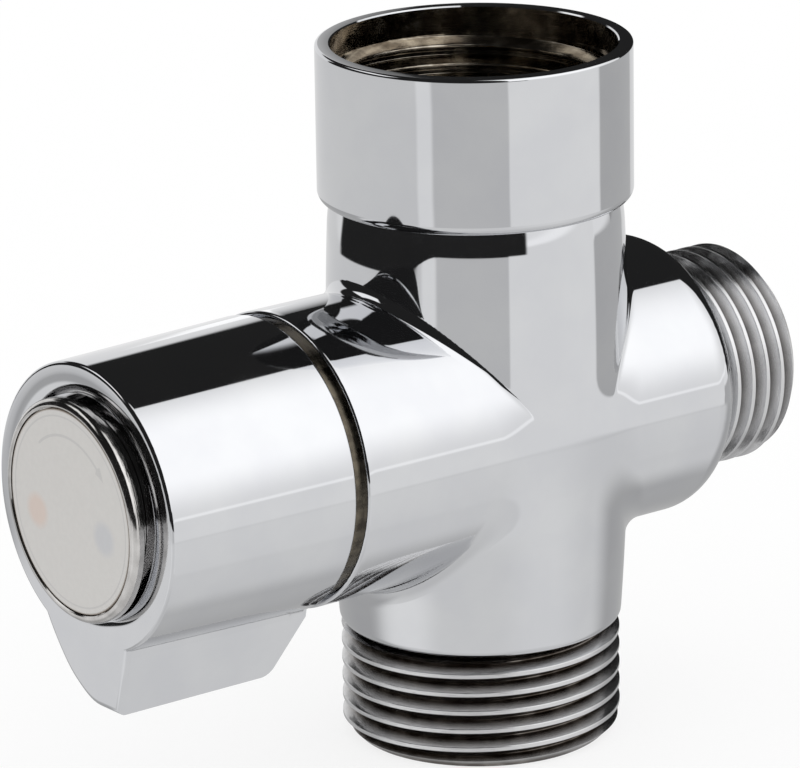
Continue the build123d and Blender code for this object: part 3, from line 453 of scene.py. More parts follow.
def round_crease(made, first, second, radius, softness, fine, limits):
    """Cuts the mesh finer along the crease between two outsides and moves it on to their fillet."""
    for edge_length in (2 * fine, fine, fine):
        bmesh.ops.triangulate(made, faces=made.faces[:])
        points = np.array([v.co for v in made.verts])
        (near, way_near), (far, way_far) = first(points), second(points)
        width = radius(points) * (1 - (way_near * way_far).sum(1)) + SOFT_DEPTH * softness(points) + fine
        close = (np.maximum(near, far) < width) & (np.minimum(near, far) > BURIED) & limits(points)
        touched = [e for e in made.edges if any(close[v.index] for v in e.verts)]
        long = [e for e in touched if e.calc_length() > edge_length]
        bmesh.ops.subdivide_edges(made, edges=long, cuts=1)
        made.verts.index_update()
    points = np.array([v.co for v in made.verts])
    inside = limits(points)
    for _ in range(FIT_PASSES):
        distance, way = filleted(points, first, second, radius, softness)
        (near, _), (far, _) = first(points), second(points)
        movable = inside & (np.abs(distance) < FAR_OFF) & (np.minimum(near, far) > BURIED)
        points -= np.where(movable, distance, 0)[:, None] * way
    for vert, point in zip(made.verts, points):
        vert.co = point
    bmesh.ops.triangulate(made, faces=made.faces[:])


def arms_reach(points):
    """Where the pipe and the arms meet."""
    return (
        (points[:, 2] > FOOT_Z + FOOT_ROUNDING)
        & (points[:, 2] < COLLAR_Z - FINE)
        & (points[:, 0] > ARM_END + 1)
        & (points[:, 0] < SIDE_ARM_END - SIDE_ARM_ROUNDING)
    )


body = combine(combine(pipe, "UNION", cartridge_arm), "UNION", side_arm)
round_crease(body, pipe_outside, arms_outside, crease_radius, crease_softness, FINE, arms_reach)

# The threads are cut after forging: pipe thread of 14 turns an inch with 55 degrees between its
# flanks, its roots rounded and its crests turned off flat. The outside ones end in a run-out groove.
# Each one's first crest is where its turns show on the side of the outline.
PITCH = 25.4 / 14
THREAD_DEPTH, CREST_FLAT, CREST_ROUNDING, ROOT_ROUNDING = 0.640327 * PITCH, 0.32, 0.07, 0.15
FLANK, THREAD_CHAMFER, ROOT_CLEAR, OVER = 27.5, 1.28, 0.05, 0.1
BOTTOM_CREST, BOTTOM_TURNS, BOTTOM_RUNOUT = 0.96 - PITCH, 8, 0.5
SIDE_CREST, SIDE_TURNS, SIDE_RUNOUT = 25.76 - 3 * PITCH, 8, 0.8
INLET_CREST, INLET_TURNS, INLET_OVERSIZE = 55.2, 7, 0.2
OVERLAP, WIDE_ROW = 1.5, 20


def screw(major_r, crest, turns, upright):
    """A threaded rod, closed on the axis. Its first ridge crosses the outline's side at crest."""
    outline = []
    for turn_number in range(turns):
        ridge = crest + turn_number * PITCH
        root_r = major_r - THREAD_DEPTH + ROOT_ROUNDING
        crest_r = major_r - CREST_ROUNDING
        outline += arc((ridge - CREST_FLAT / 2, crest_r), CREST_ROUNDING, 180 - FLANK, 90, 3)
        outline += arc((ridge + CREST_FLAT / 2, crest_r), CREST_ROUNDING, 90, FLANK, 3)
        outline += arc((ridge + PITCH / 2, root_r), ROOT_ROUNDING, 180 + FLANK, 360 - FLANK, 4)
    made = turned(outline, upright, PITCH, PITCH)
    rims = [edge for edge in made.edges if edge.is_boundary]
    middle = crest + turns * PITCH / 2
    along = 2 if upright else 0
    for side in (-1, 1):
        loop = [e for e in rims if side * (sum(v.co[along] for v in e.verts) / 2 - middle) > 0]
        grown = bmesh.ops.extrude_edge_only(made, edges=loop)["geom"]
        tip = [v for v in grown if isinstance(v, bmesh.types.BMVert)]
        end = middle + side * (turns / 2 + 1) * PITCH
        bmesh.ops.pointmerge(made, verts=tip, merge_co=(0, 0, end) if upright else (end, 0, CROSS_Z))
    bmesh.ops.recalc_face_normals(made, faces=made.faces[:])
    return made


main_root_r = MAIN_THREAD_R - THREAD_DEPTH - ROOT_CLEAR
side_root_r = SIDE_THREAD_R - THREAD_DEPTH - ROOT_CLEAR
blank = turned(
    [(0, 0), (0, MAIN_THREAD_R - THREAD_CHAMFER), (THREAD_CHAMFER + OVER, MAIN_THREAD_R + OVER)]
    + [(FOOT_Z - BOTTOM_RUNOUT, MAIN_THREAD_R + OVER), (FOOT_Z - BOTTOM_RUNOUT / 2, main_root_r)]
    + [(FOOT_Z + OVERLAP, main_root_r), (FOOT_Z + OVERLAP, 0)],
    row=WIDE_ROW,
)
thread = combine(screw(MAIN_THREAD_R, BOTTOM_CREST, BOTTOM_TURNS, True), "INTERSECT", blank)
body = combine(body, "UNION", thread)
blank = turned(
    [(SIDE_ARM_END - OVERLAP, 0), (SIDE_ARM_END - OVERLAP, side_root_r)]
    + [(SIDE_ARM_END + SIDE_RUNOUT / 2, side_root_r), (SIDE_ARM_END + SIDE_RUNOUT, SIDE_THREAD_R + OVER)]
    + [(SIDE_END - THREAD_CHAMFER - OVER, SIDE_THREAD_R + OVER), (SIDE_END, SIDE_THREAD_R - THREAD_CHAMFER)]
    + [(SIDE_END, 0)],
    upright=False,
    row=WIDE_ROW,
)
thread = combine(screw(SIDE_THREAD_R, SIDE_CREST, SIDE_TURNS, False), "INTERSECT", blank)
body = combine(body, "UNION", thread)

# The inside is drilled and bored: lead-in, inlet thread, washer pocket, both waterways, the
# cartridge's chamber with its seat, and an oblong port from it up to the inlet and down to the outlet.
LEAD_IN_R, LEAD_IN_Z, RIM_BEVEL = 13.38, 64.6, 0.12
INLET_THREAD_Z, POCKET_R, SHELF_Z, INLET_BORE_R = 57.2, 12.3, 54.6, 8.5
CHAMBER_R, SEAT_X, MOUTH_BEVEL, PORT_WALL, BORE_CORNER = 11.0, 11.5, 0.5, 4.5, 1.2
PORT_WIDTH, PORT_LENGTH, PORT_STEPS, PORT_OVERLAP = 6.4, 13.0, 48, 0.5
INLET_PORT_X, OUTLET_PORT_X = -4.9, 5.6
inlet_floor = CROSS_Z + CHAMBER_R + PORT_WALL
bore_top = CROSS_Z - CHAMBER_R - PORT_WALL
slab_r = MAIN_THREAD_R + INLET_OVERSIZE
slab = turned(
    [(INLET_THREAD_Z, 0), (INLET_THREAD_Z, slab_r), (LEAD_IN_Z, slab_r), (LEAD_IN_Z, 0)], row=WIDE_ROW
)
thread = combine(screw(MAIN_THREAD_R, INLET_CREST, INLET_TURNS, True), "INTERSECT", slab)
inlet = turned(
    [(inlet_floor, 0), (inlet_floor, INLET_BORE_R), (SHELF_Z, INLET_BORE_R), (SHELF_Z, POCKET_R)]
    + [(INLET_THREAD_Z + OVER, POCKET_R), (INLET_THREAD_Z + OVER, main_root_r)]
    + [(LEAD_IN_Z - OVER, main_root_r), (LEAD_IN_Z - OVER, LEAD_IN_R)]
    + [(HEIGHT - RIM_BEVEL, LEAD_IN_R), (HEIGHT, LEAD_IN_R + RIM_BEVEL), (HEIGHT + 1, LEAD_IN_R + RIM_BEVEL)]
    + [(HEIGHT + 1, 0)],
    row=WIDE_ROW,
)
body = combine(combine(body, "DIFFERENCE", inlet), "DIFFERENCE", thread)
bottom_bore = turned(
    [(-1, 0), (-1, BOTTOM_BORE_R), (BOTTOM_BORE_TOP, BOTTOM_BORE_R), (bore_top, BOTTOM_BORE_R - BORE_CORNER)]
    + [(bore_top, 0)],
    row=WIDE_ROW,
)
chamber = turned(
    [(ARM_END - 1, 0), (ARM_END - 1, CHAMBER_R + MOUTH_BEVEL + 1), (ARM_END + MOUTH_BEVEL, CHAMBER_R)]
    + [(SEAT_X, CHAMBER_R), (SEAT_X, SIDE_BORE_R), (SIDE_END + 1, SIDE_BORE_R), (SIDE_END + 1, 0)],
    upright=False,
    row=WIDE_ROW,
)
body = combine(combine(body, "DIFFERENCE", bottom_bore), "DIFFERENCE", chamber)
for port_x, low, high in (
    (INLET_PORT_X, CROSS_Z, inlet_floor + PORT_OVERLAP),
    (OUTLET_PORT_X, bore_top - PORT_OVERLAP, CROSS_Z),
):
    port = bmesh.new()
    bmesh.ops.create_circle(port, cap_ends=True, segments=PORT_STEPS, radius=PORT_WIDTH / 2)
    for vert in port.verts:
        side = (vert.co.y > 0) - (vert.co.y < 0)
        vert.co += Vector((port_x, side * (PORT_LENGTH - PORT_WIDTH) / 2, low))
    grown = bmesh.ops.extrude_face_region(port, geom=port.faces[:])["geom"]
    lifted = [v for v in grown if isinstance(v, bmesh.types.BMVert)]
    bmesh.ops.translate(port, verts=lifted, vec=(0, 0, high - low))
    bmesh.ops.recalc_face_normals(port, faces=port.faces[:])
    body = combine(body, "DIFFERENCE", port)

# Shading: the mesh takes its true normals where it lies on a known outside, and face-weighted ones
# elsewhere, with edges above an angle in degrees left sharp.
ON_SURFACE, SAME_WAY, SHARP_EDGE, WELD = 0.004, 0.96, 28, 1e-5


def true_normals(outside):
    """Normals for the corners of a mesh that lie on an outside whose way out is known."""

    def corner_normals(points, facing):
        distance, way = outside(points)
        on_it = (np.abs(distance) < ON_SURFACE) & ((way * facing).sum(1) > SAME_WAY)
        return np.where(on_it[:, None], way, 0)

    return corner_normals


def finish(material, *names):
    """Gives pieces of the frame their material."""
    for name in names:
        data = frame["nodes"][name].data
        data.materials.clear()
        data.materials.append(material)


def dress(name, made, rides, materials, node, known=None):
    """Makes the finished piece in place of a node: metres, smooth with sharp edges, and on its body.
    known gives the true normals of its curved outsides."""
    piece = bpy.data.objects.new(name, bpy.data.meshes.new(name))
    bmesh.ops.dissolve_degenerate(made, dist=WELD, edges=made.edges[:])
    made.to_mesh(piece.data)
    made.free()
    data = piece.data
    scene.collection.objects.link(piece)
    data.shade_smooth()
    data.set_sharp_from_angle(angle=radians(SHARP_EDGE))
    weighting = piece.modifiers.new("even", "WEIGHTED_NORMAL")
    weighting.keep_sharp = True
    shaded = bpy.data.meshes.new_from_object(piece.evaluated_get(bpy.context.evaluated_depsgraph_get()))
    corners = np.empty(len(data.loops) * 3, np.float32)
    shaded.corner_normals.foreach_get("vector", corners)
    corners = corners.reshape(-1, 3).astype(float)
    piece.modifiers.clear()
    bpy.data.meshes.remove(shaded)
    if known:
        points = np.empty(len(data.vertices) * 3, np.float32)
        data.vertices.foreach_get("co", points)
        at = np.empty(len(data.loops), np.int32)
        data.loops.foreach_get("vertex_index", at)
        faces = np.empty(len(data.polygons) * 3, np.float32)
        data.polygons.foreach_get("normal", faces)
        totals = np.empty(len(data.polygons), np.int32)
        data.polygons.foreach_get("loop_total", totals)
        facing = np.repeat(faces.reshape(-1, 3), totals, axis=0)
        better = known(points.reshape(-1, 3)[at].astype(float), facing)
        corners = np.where(np.abs(better).sum(1)[:, None] > 0, better, corners)
    data.transform(Matrix.Scale(MM, 4))
    data.normals_split_custom_set(corners)
    for material in materials:
        data.materials.append(material)
    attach(piece, rides)
    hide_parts(node)
    finish(materials[0], node)
    return piece


def body_outside(points):
    """How far points lie outside the pipe and arms with their filleted creases, and the way out."""
    distance, way = filleted(points, pipe_outside, arms_outside, crease_radius, crease_softness)
    return np.where(arms_reach(points), distance, 1), way


# A surface's tone and gloss wander with the same noise, each over its own span of the noise's values
TONE_SPAN, GLOSS_SPAN = (0.38, 0.66), (0.32, 0.7)


def worn(name, colours, gloss, patch_mm, metallic=1.0, relief=None):
    """A finished material whose tone and roughness wander over patches of a size in millimetres,
    with a fine relief if its depth and grain, both in millimetres, and its stretch are given."""
    material, tree = new_material(name)
    where = add_node(tree, "ShaderNodeTexCoord").outputs["Object"]
    noise = add_node(
        tree, "ShaderNodeTexNoise", None, Vector=where, Scale=1 / (patch_mm * MM), Detail=3.0
    ).outputs[0]
    share = add_node(
        tree, "ShaderNodeMapRange", None, Value=noise, From_Min=TONE_SPAN[0], From_Max=TONE_SPAN[1]
    )
    tone = add_node(
        tree,
        "ShaderNodeMix",
        {"data_type": "RGBA"},
        i0=share.outputs[0],
        i6=linear(colours[0]),
        i7=linear(colours[1]),
    )
    rough = add_node(
        tree,
        "ShaderNodeMapRange",
        None,
        Value=noise,
        From_Min=GLOSS_SPAN[0],
        From_Max=GLOSS_SPAN[1],
        To_Min=gloss[0],
        To_Max=gloss[1],
    )
    shader = add_node(
        tree,
        "ShaderNodeBsdfPrincipled",
        None,
        Base_Color=tone.outputs[2],
        Roughness=rough.outputs[0],
        Metallic=metallic,
    )
    if relief:
        depth_mm, grain_mm, stretch = relief
        along = add_node(tree, "ShaderNodeVectorMath", {"operation": "MULTIPLY"}, i0=where, i1=stretch)
        grain = add_node(
            tree, "ShaderNodeTexNoise", None, Vector=along.outputs[0], Scale=1 / (grain_mm * MM), Detail=2.0
        )
        bump = add_node(
            tree, "ShaderNodeBump", None, Height=grain.outputs[0], Distance=depth_mm * MM, Strength=1.0
        )
        tree.links.new(bump.outputs[0], shader.inputs["Normal"])
    add_node(tree, "ShaderNodeOutputMaterial", None, Surface=shader.outputs[0])
    return material


def shader_of(material):
    """A material's node tree, its shader and what the shader's colour comes from."""
    tree = material.node_tree
    shader = next(n for n in tree.nodes if n.type == "BSDF_PRINCIPLED")
    return tree, shader, shader.inputs["Base Color"].links[0].from_socket


def distance_from(tree, keep, centre):
    """The way from a line or spot and its length, in metres. keep is 0 along the line, 1 across it."""
    where = add_node(tree, "ShaderNodeTexCoord").outputs["Object"]
    spot = [c * MM for c in centre]
    moved = add_node(tree, "ShaderNodeVectorMath", {"operation": "SUBTRACT"}, i0=where, i1=spot)
    flat = add_node(tree, "ShaderNodeVectorMath", {"operation": "MULTIPLY"}, i0=moved.outputs[0], i1=keep)
    length = add_node(tree, "ShaderNodeVectorMath", {"operation": "LENGTH"}, i0=flat.outputs[0])
    return flat, length.outputs["Value"]


# Chromium plate on polished brass: a near mirror, a little uneven in gloss and tone from wiping.
chrome = worn("polished_chrome_plate", ("CDCED1", "D1D2D4"), (0.03, 0.055), 6)
# Turning leaves rings round the axis: a grain that is fine along it and ten times as long across it
ALONG_PIPE, ALONG_CROSS = (0.1, 0.1, 1), (1, 0.1, 0.1)


def threaded_plate(name, keep, stretch, centre, bright_r, dark_r):
    """Thin plate over a cut thread: bright on the crests, dull and dark down in the roots, partly a real stain and
    partly painted shade.
    """
    # The dark colours are partly a real stain and partly painted shade for the shadow down in the roots
    material = worn(name, ("443D37", "726D68"), (0.26, 0.14), 1.6, relief=(0.012, 0.12, stretch))
    tree, shader, root_stain_and_shade = shader_of(material)
    _, reach = distance_from(tree, keep, centre)
    raised = add_node(
        tree, "ShaderNodeMapRange", None, Value=reach, From_Min=dark_r * MM, From_Max=bright_r * MM
    )
    # Painted shade: the colour darkens from the crests down to the roots with the distance from the axis
    colour = add_node(
        tree, "ShaderNodeMix", {"data_type": "RGBA"}, i0=raised.outputs[0], i6=root_stain_and_shade, i7=linear("CFCFD0")
    )
    tree.links.new(colour.outputs[2], shader.inputs["Base Color"])
    return material


bottom_plate = threaded_plate(
    "chrome_plate_on_bottom_thread",
    (1, 1, 0),
    ALONG_PIPE,
    (0, 0, 0),
    MAIN_THREAD_R - 0.1,
    MAIN_THREAD_R - THREAD_DEPTH + 0.2,
)
side_plate = threaded_plate(
    "chrome_plate_on_side_thread",
    (0, 1, 1),
    ALONG_CROSS,
    (0, 0, CROSS_Z),
    SIDE_THREAD_R - 0.15,
    SIDE_THREAD_R - THREAD_DEPTH - 0.4,
)
# The plate thins out inside the collar and lets the brass through; the waterways are bare brass.
inner_plate = worn(
    "thin_plate_over_turned_brass", ("877E72", "C8C0B2"), (0.07, 0.2), 1.5, relief=(0.01, 0.12, ALONG_PIPE)
)
bare_brass = worn("machined_brass_waterway", ("A58A58", "C4A66C"), (0.22, 0.36), 2)
body_materials = [chrome, bottom_plate, side_plate, inner_plate, bare_brass]
LEAD_IN_SLACK, BORE_SLACK, END_SLACK, PORT_REACH, PORT_START = 0.05, 1.1, 0.02, 9.6, 8


def body_finish(spot):
    """The material of the body's surface at a spot: its threads and its inside have their own."""
    out, side_out = hypot(spot.x, spot.y), hypot(spot.y, spot.z - CROSS_Z)
    if spot.z > SHELF_Z - OVER and out < LEAD_IN_R + LEAD_IN_SLACK:
        return inner_plate
    in_port = out < INLET_BORE_R + BORE_SLACK and abs(spot.x) < PORT_REACH and side_out > PORT_START
    in_chamber = side_out < CHAMBER_R + OVER and ARM_END + OVER < spot.x < SEAT_X + OVER
    if in_port or in_chamber or side_out < SIDE_BORE_R + OVER:
        return bare_brass
    if spot.z < FOOT_Z - END_SLACK and out < MAIN_THREAD_R + 2 * OVER:
        return bottom_plate
    return side_plate if spot.x > SIDE_ARM_END + END_SLACK else chrome


valve_body = dress(
    "brass_tee_body", body, "valve", body_materials, "valve_body", true_normals(body_outside)
)
for polygon in valve_body.data.polygons:
    polygon.material_index = body_materials.index(body_finish(polygon.center / MM))

# Lever handle: one zinc casting, a cup over the bonnet with the lever below it and a boss in front.
# Behind, it is hollow with a hub that sits on the spindle's splines. A shallow dish is turned round
# the boss, whose front is cut a little askew, and the outside is polished and chrome plated.
HANDLE_FRONT, HANDLE_REAR = -45.25, -24.95
HANDLE_FRONT_R, HANDLE_REAR_R, HANDLE_EDGE = 13.5, 13.95, 0.35
LEVER_REACH, LEVER_TIP_LENGTH, LEVER_REAR_REACH, LEVER_HEEL_BEVEL = 18.75, 16.9, 13.4, 0.875
LEVER_FACE = ((-6.6, -9.6), (-4.4, -18.75))
LEVER_FLANK = ((8.3, -9.6), (5.6, -13.9), (2.6, -17.1), (-1.2, -18.75))
LEVER_FRONT_ROUNDING, LEVER_CREASE, LEVER_FINE, NEAR = 0.7, 0.5, 0.2, 0.01
cup = turned(
    [(HANDLE_FRONT, 0)]
    + arc((HANDLE_FRONT + HANDLE_EDGE, HANDLE_FRONT_R - HANDLE_EDGE), HANDLE_EDGE, 180, 90, 5)
    + arc((HANDLE_REAR - HANDLE_EDGE, HANDLE_REAR_R - HANDLE_EDGE), HANDLE_EDGE, 90, 0, 5)
    + [(HANDLE_REAR, 0)],
    upright=False,
)


def smooth_curve(points, start_way, end_way, count):
    """Points of a smooth curve through the given ones."""
    points = [Vector((*p, 0)) for p in points]
    ways = [start_way]
    ways += [(after - before).normalized() for before, after in zip(points, points[2:])] + [end_way]
    made = []
    for a, b, way_a, way_b in zip(points, points[1:], ways, ways[1:]):
        for t in np.linspace(0, 1, count, endpoint=False):
            reach = (b - a).length
            made.append(
                a * (2 * t**3 - 3 * t**2 + 1)
                + b * (3 * t**2 - 2 * t**3)
                + way_a * reach * (t**3 - 2 * t**2 + t)
                + way_b * reach * (t**3 - t**2)
            )
    return made + [points[-1]]


def slice_off(made, spot, way):
    """Cuts off what lies beyond the plane through a spot, square to a way, and closes the cut."""
    cut = bmesh.ops.bisect_plane(
        made,
        geom=made.verts[:] + made.edges[:] + made.faces[:],
        plane_co=spot,
        plane_no=way,
        clear_outer=True,
    )["geom_cut"]
    bmesh.ops.holes_fill(made, edges=[e for e in cut if isinstance(e, bmesh.types.BMEdge)], sides=0)
    bmesh.ops.recalc_face_normals(made, faces=made.faces[:])


def lies_on(edge, spot, way):
    """Whether an edge lies in the plane through a spot, square to a way of length 1."""
    return all(abs((vert.co - spot).dot(way)) < NEAR for vert in edge.verts)


(flank_y, flank_z), (next_y, next_z) = LEVER_FLANK[:2]
flank_way = Vector((next_y - flank_y, next_z - flank_z, 0)).normalized()
flank = smooth_curve(LEVER_FLANK, flank_way, Vector((-1, 0, 0)), 8)
lever = bmesh.new()
section = [(p.x, p.y) for p in flank] + [LEVER_FACE[1], LEVER_FACE[0]]
face = lever.faces.new([lever.verts.new((HANDLE_FRONT, y, CROSS_Z + z)) for y, z in section])
grown = bmesh.ops.extrude_face_region(lever, geom=[face])["geom"]
far = [v for v in grown if isinstance(v, bmesh.types.BMVert)]
bmesh.ops.translate(lever, verts=far, vec=(HANDLE_REAR - HANDLE_FRONT, 0, 0))
tip = Vector((HANDLE_FRONT + LEVER_TIP_LENGTH, 0, CROSS_Z - LEVER_REACH))
slant = Vector((LEVER_REACH - LEVER_REAR_REACH, 0, tip.x - HANDLE_REAR)).normalized()
slice_off(lever, tip, slant)
root, along_arm, upwards = Vector((HANDLE_FRONT, 0, CROSS_Z + flank_z)), Vector((1, 0, 0)), Vector((0, 0, 1))
heel = [e for e in lever.edges if lies_on(e, tip, slant) and lies_on(e, tip, upwards)]
bmesh.ops.bevel(
    lever, geom=heel, offset=LEVER_HEEL_BEVEL, affect="EDGES", segments=8, profile=0.5, material=-1
)
front_rim = [e for e in lever.edges if lies_on(e, root, along_arm) and not lies_on(e, root, upwards)]
bmesh.ops.bevel(
    lever, geom=front_rim, offset=LEVER_FRONT_ROUNDING, affect="EDGES", segments=6, profile=0.5, material=-1
)
bmesh.ops.recalc_face_normals(lever, faces=lever.faces[:])
handle = combine(cup, "UNION", lever)
handle_slope = (HANDLE_REAR_R - HANDLE_FRONT_R) / (HANDLE_REAR - HANDLE_FRONT - 2 * HANDLE_EDGE)


def cup_outside(points):
    """How far points lie outside the handle's cone, and the way out."""
    up = points[:, 2] - CROSS_Z
    out = np.hypot(points[:, 1], up) + TINY
    lean = hypot(1, handle_slope)
    radius = HANDLE_FRONT_R + handle_slope * (points[:, 0] - HANDLE_FRONT - HANDLE_EDGE)
    way = np.column_stack([0 * out - handle_slope, points[:, 1] / out, up / out]) / lean
    return (out - radius) / lean, way


def lever_outside(points):
    """The same for the lever's flat face and, on the far side, for the top of its flank."""
    (face_y, face_z), (heel_y, heel_z) = LEVER_FACE
    face_way = np.array([heel_z - face_z, face_y - heel_y]) / hypot(face_z - heel_z, heel_y - face_y)
    flank_out = np.array([-flank_way.y, flank_way.x])
    in_front = points[:, 1] < 0
    across = points[:, 1] - np.where(in_front, face_y, flank_y)
    up = points[:, 2] - CROSS_Z - np.where(in_front, face_z, flank_z)
    way_y = np.where(in_front, face_way[0], flank_out[0])
    way_z = np.where(in_front, face_way[1], flank_out[1])
    return across * way_y + up * way_z, np.column_stack([0 * up, way_y, way_z])


def lever_crease_radius(points):
    """The fillet between the handle's cone and its lever."""
    return np.full(len(points), LEVER_CREASE)


def lever_softness(points):
    """How much of that crease is polished away: none, because it is a plain fillet everywhere."""
    return np.zeros(len(points))


def lever_root(points):
    """Where the lever leaves the cone."""
    return (
        (points[:, 2] < CROSS_Z + flank_z)
        & (points[:, 2] > CROSS_Z + next_z)
        & (points[:, 0] > HANDLE_FRONT + HANDLE_EDGE)
        & (points[:, 0] < HANDLE_REAR - HANDLE_EDGE)
    )


round_crease(handle, cup_outside, lever_outside, lever_crease_radius, lever_softness, LEVER_FINE, lever_root)

# The dish is nearly flat at the rim and steep at the boss. Low down, towards the lever, it runs out.
DISH_DEPTH, DISH_POWER, DISH_ROW, DISH_ROWS, DISH_LIP, DISH_AHEAD = 1.15, 4, 0.3, 14, 0.2, 0.001
DISH_LOW, DISH_FADE, DISH_LEAST = -0.98, 0.5, 0.2
BOSS_R, BOSS_HEIGHT, BOSS_SLANT, BOSS_OVERLAP, BLANK_GAP = 10.5, 0.95, 2.0, 0.5, 0.2
rim_r, inner_r = HANDLE_FRONT_R - HANDLE_EDGE, BOSS_R - BOSS_OVERLAP
dish = turned(
    [(HANDLE_FRONT - 2, inner_r), (HANDLE_FRONT - 2, rim_r + DISH_LIP)]
    + [(HANDLE_FRONT - DISH_AHEAD, rim_r + DISH_LIP)]
    + [
        (HANDLE_FRONT + t**DISH_POWER * DISH_DEPTH, rim_r + t * (inner_r - rim_r))
        for t in np.linspace(0, 1, DISH_ROWS)
    ],
    upright=False,
    row=DISH_ROW,
)
for vert in dish.verts:
    if vert.co.x > HANDLE_FRONT:
        height = (vert.co.z - CROSS_Z) / hypot(vert.co.y, vert.co.z - CROSS_Z)
        share = DISH_LEAST + (1 - DISH_LEAST) * eased((height - DISH_LOW) / DISH_FADE)
        vert.co.x = HANDLE_FRONT + (vert.co.x - HANDLE_FRONT) * share
handle = combine(handle, "DIFFERENCE", dish)


def rod(start, end, radius):
    """A plain rod on the cross axis."""
    return turned([(start, 0), (start, radius), (end, radius), (end, 0)], upright=False, row=WIDE_ROW)


boss_x = HANDLE_FRONT + DISH_DEPTH - BOSS_HEIGHT
boss = rod(HANDLE_FRONT + 3, boss_x - 2, BOSS_R)
boss_way = Vector((-cos(radians(BOSS_SLANT)), 0, sin(radians(BOSS_SLANT))))
slice_off(boss, (boss_x, 0, CROSS_Z), boss_way)
front_blank = rod(HANDLE_FRONT - 3, HANDLE_FRONT + 2, BOSS_R - BLANK_GAP)
handle = combine(combine(handle, "DIFFERENCE", front_blank), "UNION", boss)

# The recess in the boss takes the cap and the screw's head; behind, a hollow runs round the hub.
RECESS_R, RECESS_DEPTH, WEB_THICK, HUB_R, HANDLE_WALL, HUB_REAR = 9.3, 4.65, 2.2, 6.3, 1.7, -34.0
recess_x = boss_x + RECESS_DEPTH
recess = rod(HANDLE_FRONT - 3, recess_x, RECESS_R)
hollow = turned(
    [(recess_x + WEB_THICK, HUB_R), (recess_x + WEB_THICK, HANDLE_FRONT_R - HANDLE_WALL)]
    + [(HANDLE_REAR + 1, HANDLE_REAR_R - HANDLE_WALL), (HANDLE_REAR + 1, 0)]
    + [(HUB_REAR, 0), (HUB_REAR, HUB_R)],
    upright=False,
    row=9,
)
handle = combine(combine(handle, "DIFFERENCE", recess), "DIFFERENCE", hollow)


def handle_outside(points):
    """How far points lie outside the cone and lever with their filleted crease, and the way out."""
    distance, way = filleted(points, cup_outside, lever_outside, lever_crease_radius, lever_softness)
    below = points[:, 2] < CROSS_Z + flank_z
    cone, cone_way = cup_outside(points)
    x = points[:, 0]
    along = (x > HANDLE_FRONT + HANDLE_EDGE - NEAR) & (x < HANDLE_REAR - HANDLE_EDGE + NEAR)
    return np.where(along, np.where(below, distance, cone), 1), np.where(below[:, None], way, cone_way)


dress(
    "lever_handle_casting",
    handle,
    "handle",
    [chrome],
    "lever_handle",
    true_normals(handle_outside),
)

# Index cap: turned from brass and plated, then pressed into the handle's recess over the screw, a
# little askew. It has a rounded bead round its front and a dark groove inside it, where the plate lies.
CAP_FRONT, CAP_REAR, CAP_R, CAP_BEAD, CAP_EDGE, CAP_LEAN = -47.02, -45.75, 10.45, 0.62, 0.15, 1.5
PLATE_R, PLATE_DEPTH, SEAT_DEPTH, GROOVE = 9.55, 0.12, 0.5, 0.1
SKIRT_R, SKIRT_WALL, SKIRT_LENGTH, SKIRT_OVERLAP, WEB_BEHIND = 9.22, 1.4, 3.6, 0.6, 0.4
plate_front, groove_r = CAP_FRONT + PLATE_DEPTH, PLATE_R + GROOVE
cap = turned(
    [(plate_front + SEAT_DEPTH, 0), (plate_front + SEAT_DEPTH, groove_r)]
    + [(CAP_FRONT + GROOVE, groove_r), (CAP_FRONT, groove_r + GROOVE)]
    + arc((CAP_FRONT + CAP_BEAD, CAP_R - CAP_BEAD), CAP_BEAD, 180, 90, 8)
    + [(CAP_REAR - CAP_EDGE, CAP_R), (CAP_REAR, CAP_R - CAP_EDGE), (CAP_REAR, 0)],
    upright=False,
)
cap_spot = Vector((CAP_FRONT, 0, CROSS_Z))
lean = Matrix.Rotation(radians(-CAP_LEAN), 4, "Y") @ Matrix.Rotation(radians(-CAP_LEAN), 4, "Z")
lean = Matrix.Translation(cap_spot) @ lean @ Matrix.Translation(-cap_spot)
bmesh.ops.transform(cap, matrix=lean, verts=cap.verts[:])
skirt_end, skirt_inner_r = CAP_REAR + SKIRT_LENGTH, SKIRT_R - SKIRT_WALL
skirt = turned(
    [(CAP_REAR - SKIRT_OVERLAP, 0), (CAP_REAR - SKIRT_OVERLAP, SKIRT_R), (skirt_end, SKIRT_R)]
    + [(skirt_end, skirt_inner_r), (CAP_REAR + WEB_BEHIND, skirt_inner_r), (CAP_REAR + WEB_BEHIND, 0)],
    upright=False,
    row=WIDE_ROW,
)
cap = combine(cap, "UNION", skirt)
# Plate over fine turning rings: its reflections are softer than the body's, and a little warmer.
cap_chrome = worn(
    "turned_chrome_plate", ("B9B7B5", "CFCDCB"), (0.07, 0.18), 1.5, relief=(0.008, 0.15, ALONG_CROSS)
)
dress("turned_index_cap", cap, "handle", [cap_chrome], "index_cap")

# Index plate: a thin plastic disc glued into the cap, printed in pale grey with an arrow for the
# turn of the lever, a ring and two soft marks, one for each outlet.
PLATE_BEVEL, PLATE_THICK = 0.05, 0.4
plate = turned(
    [(plate_front, 0), (plate_front, PLATE_R - PLATE_BEVEL), (plate_front + PLATE_BEVEL, PLATE_R)]
    + [(plate_front + PLATE_THICK, PLATE_R), (plate_front + PLATE_THICK, 0)],
    upright=False,
)
bmesh.ops.transform(plate, matrix=lean, verts=plate.verts[:])
